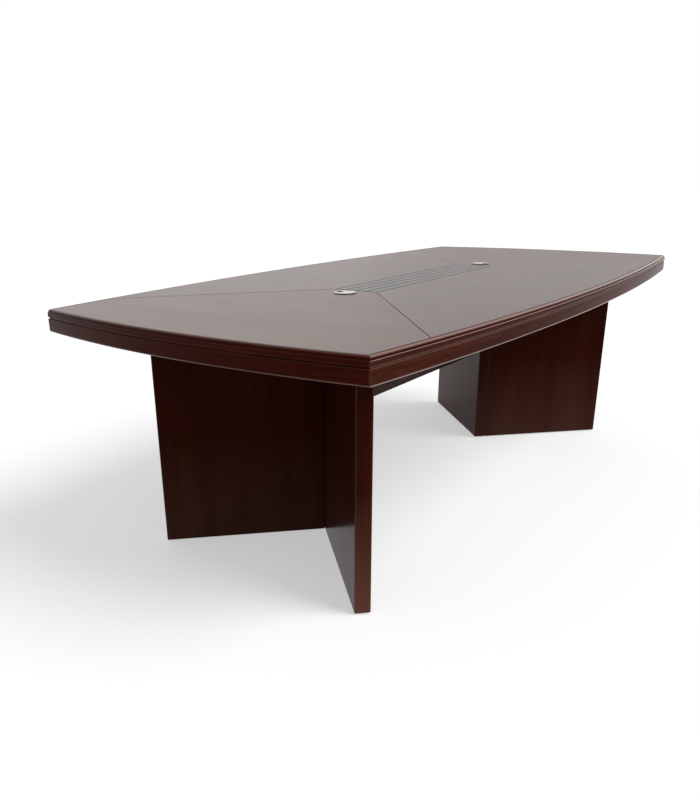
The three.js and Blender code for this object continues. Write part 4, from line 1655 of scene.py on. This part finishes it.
def mix_finishes() -> Dict[str, Material]:
    """Mix every finish of the table.

    Returns:
        The materials by name.
    """
    warm = (1.0, 0.32, 0.22)
    side_stain = Stain((0.022, 0.0066, 0.0035), (0.041, 0.0135, 0.0064), (0.064, 0.0240, 0.0118))
    end_stain = Stain((0.026, 0.0080, 0.0036), (0.048, 0.0163, 0.0064), (0.075, 0.0290, 0.0118))
    spine_stain = Stain((0.020, 0.0125, 0.0096), (0.033, 0.0220, 0.0172), (0.050, 0.0350, 0.0280))
    leg_stain = Stain((0.018, 0.0030, 0.0013), (0.027, 0.0050, 0.0021), (0.037, 0.0076, 0.0032))
    beam_stain = Stain((0.015, 0.0030, 0.0016), (0.027, 0.0060, 0.0032), (0.042, 0.0108, 0.0058))
    # The ends' rim is a darker, redder copy of the sides' rim, painted as shade
    end_rim_shaded_stain = Stain((0.018, 0.0020, 0.0007), (0.033, 0.0042, 0.0016), (0.052, 0.0082, 0.0035))
    side_rim_stain = Stain((0.022, 0.0048, 0.0025), (0.041, 0.0100, 0.0054), (0.063, 0.0175, 0.0098))

    along = LacqueredWood(
        "veneer_along", Grain.LENGTH, side_stain, gloss=0.37, specular=1.0, mirror_tint=(0.97, 0.895, 0.88)
    )
    across = LacqueredWood(
        "veneer_across", Grain.WIDTH, end_stain, gloss=0.385, specular=1.0, mirror_tint=(1.0, 0.89, 0.84)
    )
    spine = replace(along, name="veneer_spine", stain=spine_stain, mirror_tint=(0.87, 0.905, 0.90))
    beam = LacqueredWood("veneer_beam", Grain.LENGTH, beam_stain, gloss=0.2, specular=0.05, mirror_tint=warm)
    # The legs get a faint painted highlight on their arrises and a foot painted paler, partly scuffs and
    # partly floor light
    leg = LacqueredWood(
        "veneer_upright", Grain.UPRIGHT, leg_stain, gloss=0.2, specular=0.035, mirror_tint=warm,
        rubbed=(0.050, 0.014, 0.008), polish_and_highlight=0.15, scuff_and_floor_light_height=0.35,
    )
    # The panels' end edges: the legs' veneer with its foot painted much brighter as light from the floor
    floor_light_band = replace(leg, name="edge_band_floor_light", scuff_and_floor_light=(0.21, 0.088, 0.060))
    # The rim mouldings: crests painted as highlights, strongest on the sides
    side_edge = LacqueredWood(
        "moulded_side", Grain.MOULDING, side_rim_stain, gloss=0.22, specular=0.012, mirror_tint=warm,
        polish_and_highlight=1.0,
    )
    shaded_end_edge = replace(side_edge, name="moulded_end_shaded", stain=end_rim_shaded_stain, specular=0.06)
    backing = PlainBoard("stained_core", (0.008, 0.004, 0.003), (0.022, 0.011, 0.007), specular=0.08)
    board = PlainBoard("raw_fibreboard", (0.13, 0.078, 0.042), (0.30, 0.20, 0.12))
    powder_coat = RubbedSkin(
        "black_powder_coat", (0.012, 0.012, 0.013), (0.045, 0.045, 0.047),
        skin=Layer(1400.0), rub=Layer(40.0, detail=4.0, strength=0.7), rub_edge=(0.55, 4.0), rub_share=0.6,
        roughness=0.46, roughness_swing=0.2, specular=0.2, relief=Relief(0.2 * MM, 0.3),
    )
    moulded_nylon = RubbedSkin(
        "black_nylon", (0.016, 0.016, 0.017), (0.06, 0.06, 0.06),
        skin=Layer(1800.0, detail=3.0), rub=Layer(220.0, detail=3.0), rub_edge=(0.56, 5.0), rub_share=0.7,
        roughness=0.52, roughness_swing=0.25, specular=0.5, relief=Relief(0.1 * MM, 0.4),
    )
    blackened = SatinMetal("blackened_screws", (0.05, 0.05, 0.055), (0.02, 0.02, 0.022), roughness=0.36)
    nickel = SatinMetal("satin_nickel")
    # Dark inside the grommets: painted shade in the bore and slot, given as unplated metal
    bore = SatinMetal("unplated_bore_painted_shade", (0.06, 0.055, 0.05), (0.03, 0.028, 0.025), roughness=0.5)
    pine_along, pine_upright = Softwood("pine_along", Grain.LENGTH), Softwood("pine_upright", Grain.UPRIGHT)
    lacquered = (along, across, spine, beam, leg, floor_light_band, side_edge, shaded_end_edge)
    others = (backing, board, pine_along, pine_upright, powder_coat, moulded_nylon, blackened, nickel, bore)
    return {finish.name: finish.material() for finish in lacquered + others}


def main() -> None:
    """Build the table's sub-assemblies in order, then the studio round them, and report each piece."""
    logging.basicConfig(level=logging.INFO, format="%(message)s")
    mixed = mix_finishes()
    steel, screw_metal = mixed["black_powder_coat"], mixed["blackened_screws"]
    Top(
        veneer_along=mixed["veneer_along"],
        veneer_across=mixed["veneer_across"],
        veneer_spine=mixed["veneer_spine"],
        shaded_end_edge=mixed["moulded_end_shaded"],
        side_edge=mixed["moulded_side"],
        backing=mixed["stained_core"],
        plan=BoatPlan(),
    ).build()
    Pedestals(
        veneer=mixed["veneer_upright"],
        floor_light_band=mixed["edge_band_floor_light"],
        softwood=mixed["pine_upright"],
        steel=steel,
        screw_metal=screw_metal,
        nylon=mixed["black_nylon"],
    ).build()
    Underframe(
        veneer=mixed["veneer_beam"],
        board=mixed["raw_fibreboard"],
        softwood=mixed["pine_along"],
        steel=steel,
        screw_metal=screw_metal,
    ).build()
    Grommets(metal=mixed["satin_nickel"], inside=mixed["unplated_bore_painted_shade"]).build()
    Studio().build()


if __name__ == "__main__":
    main()
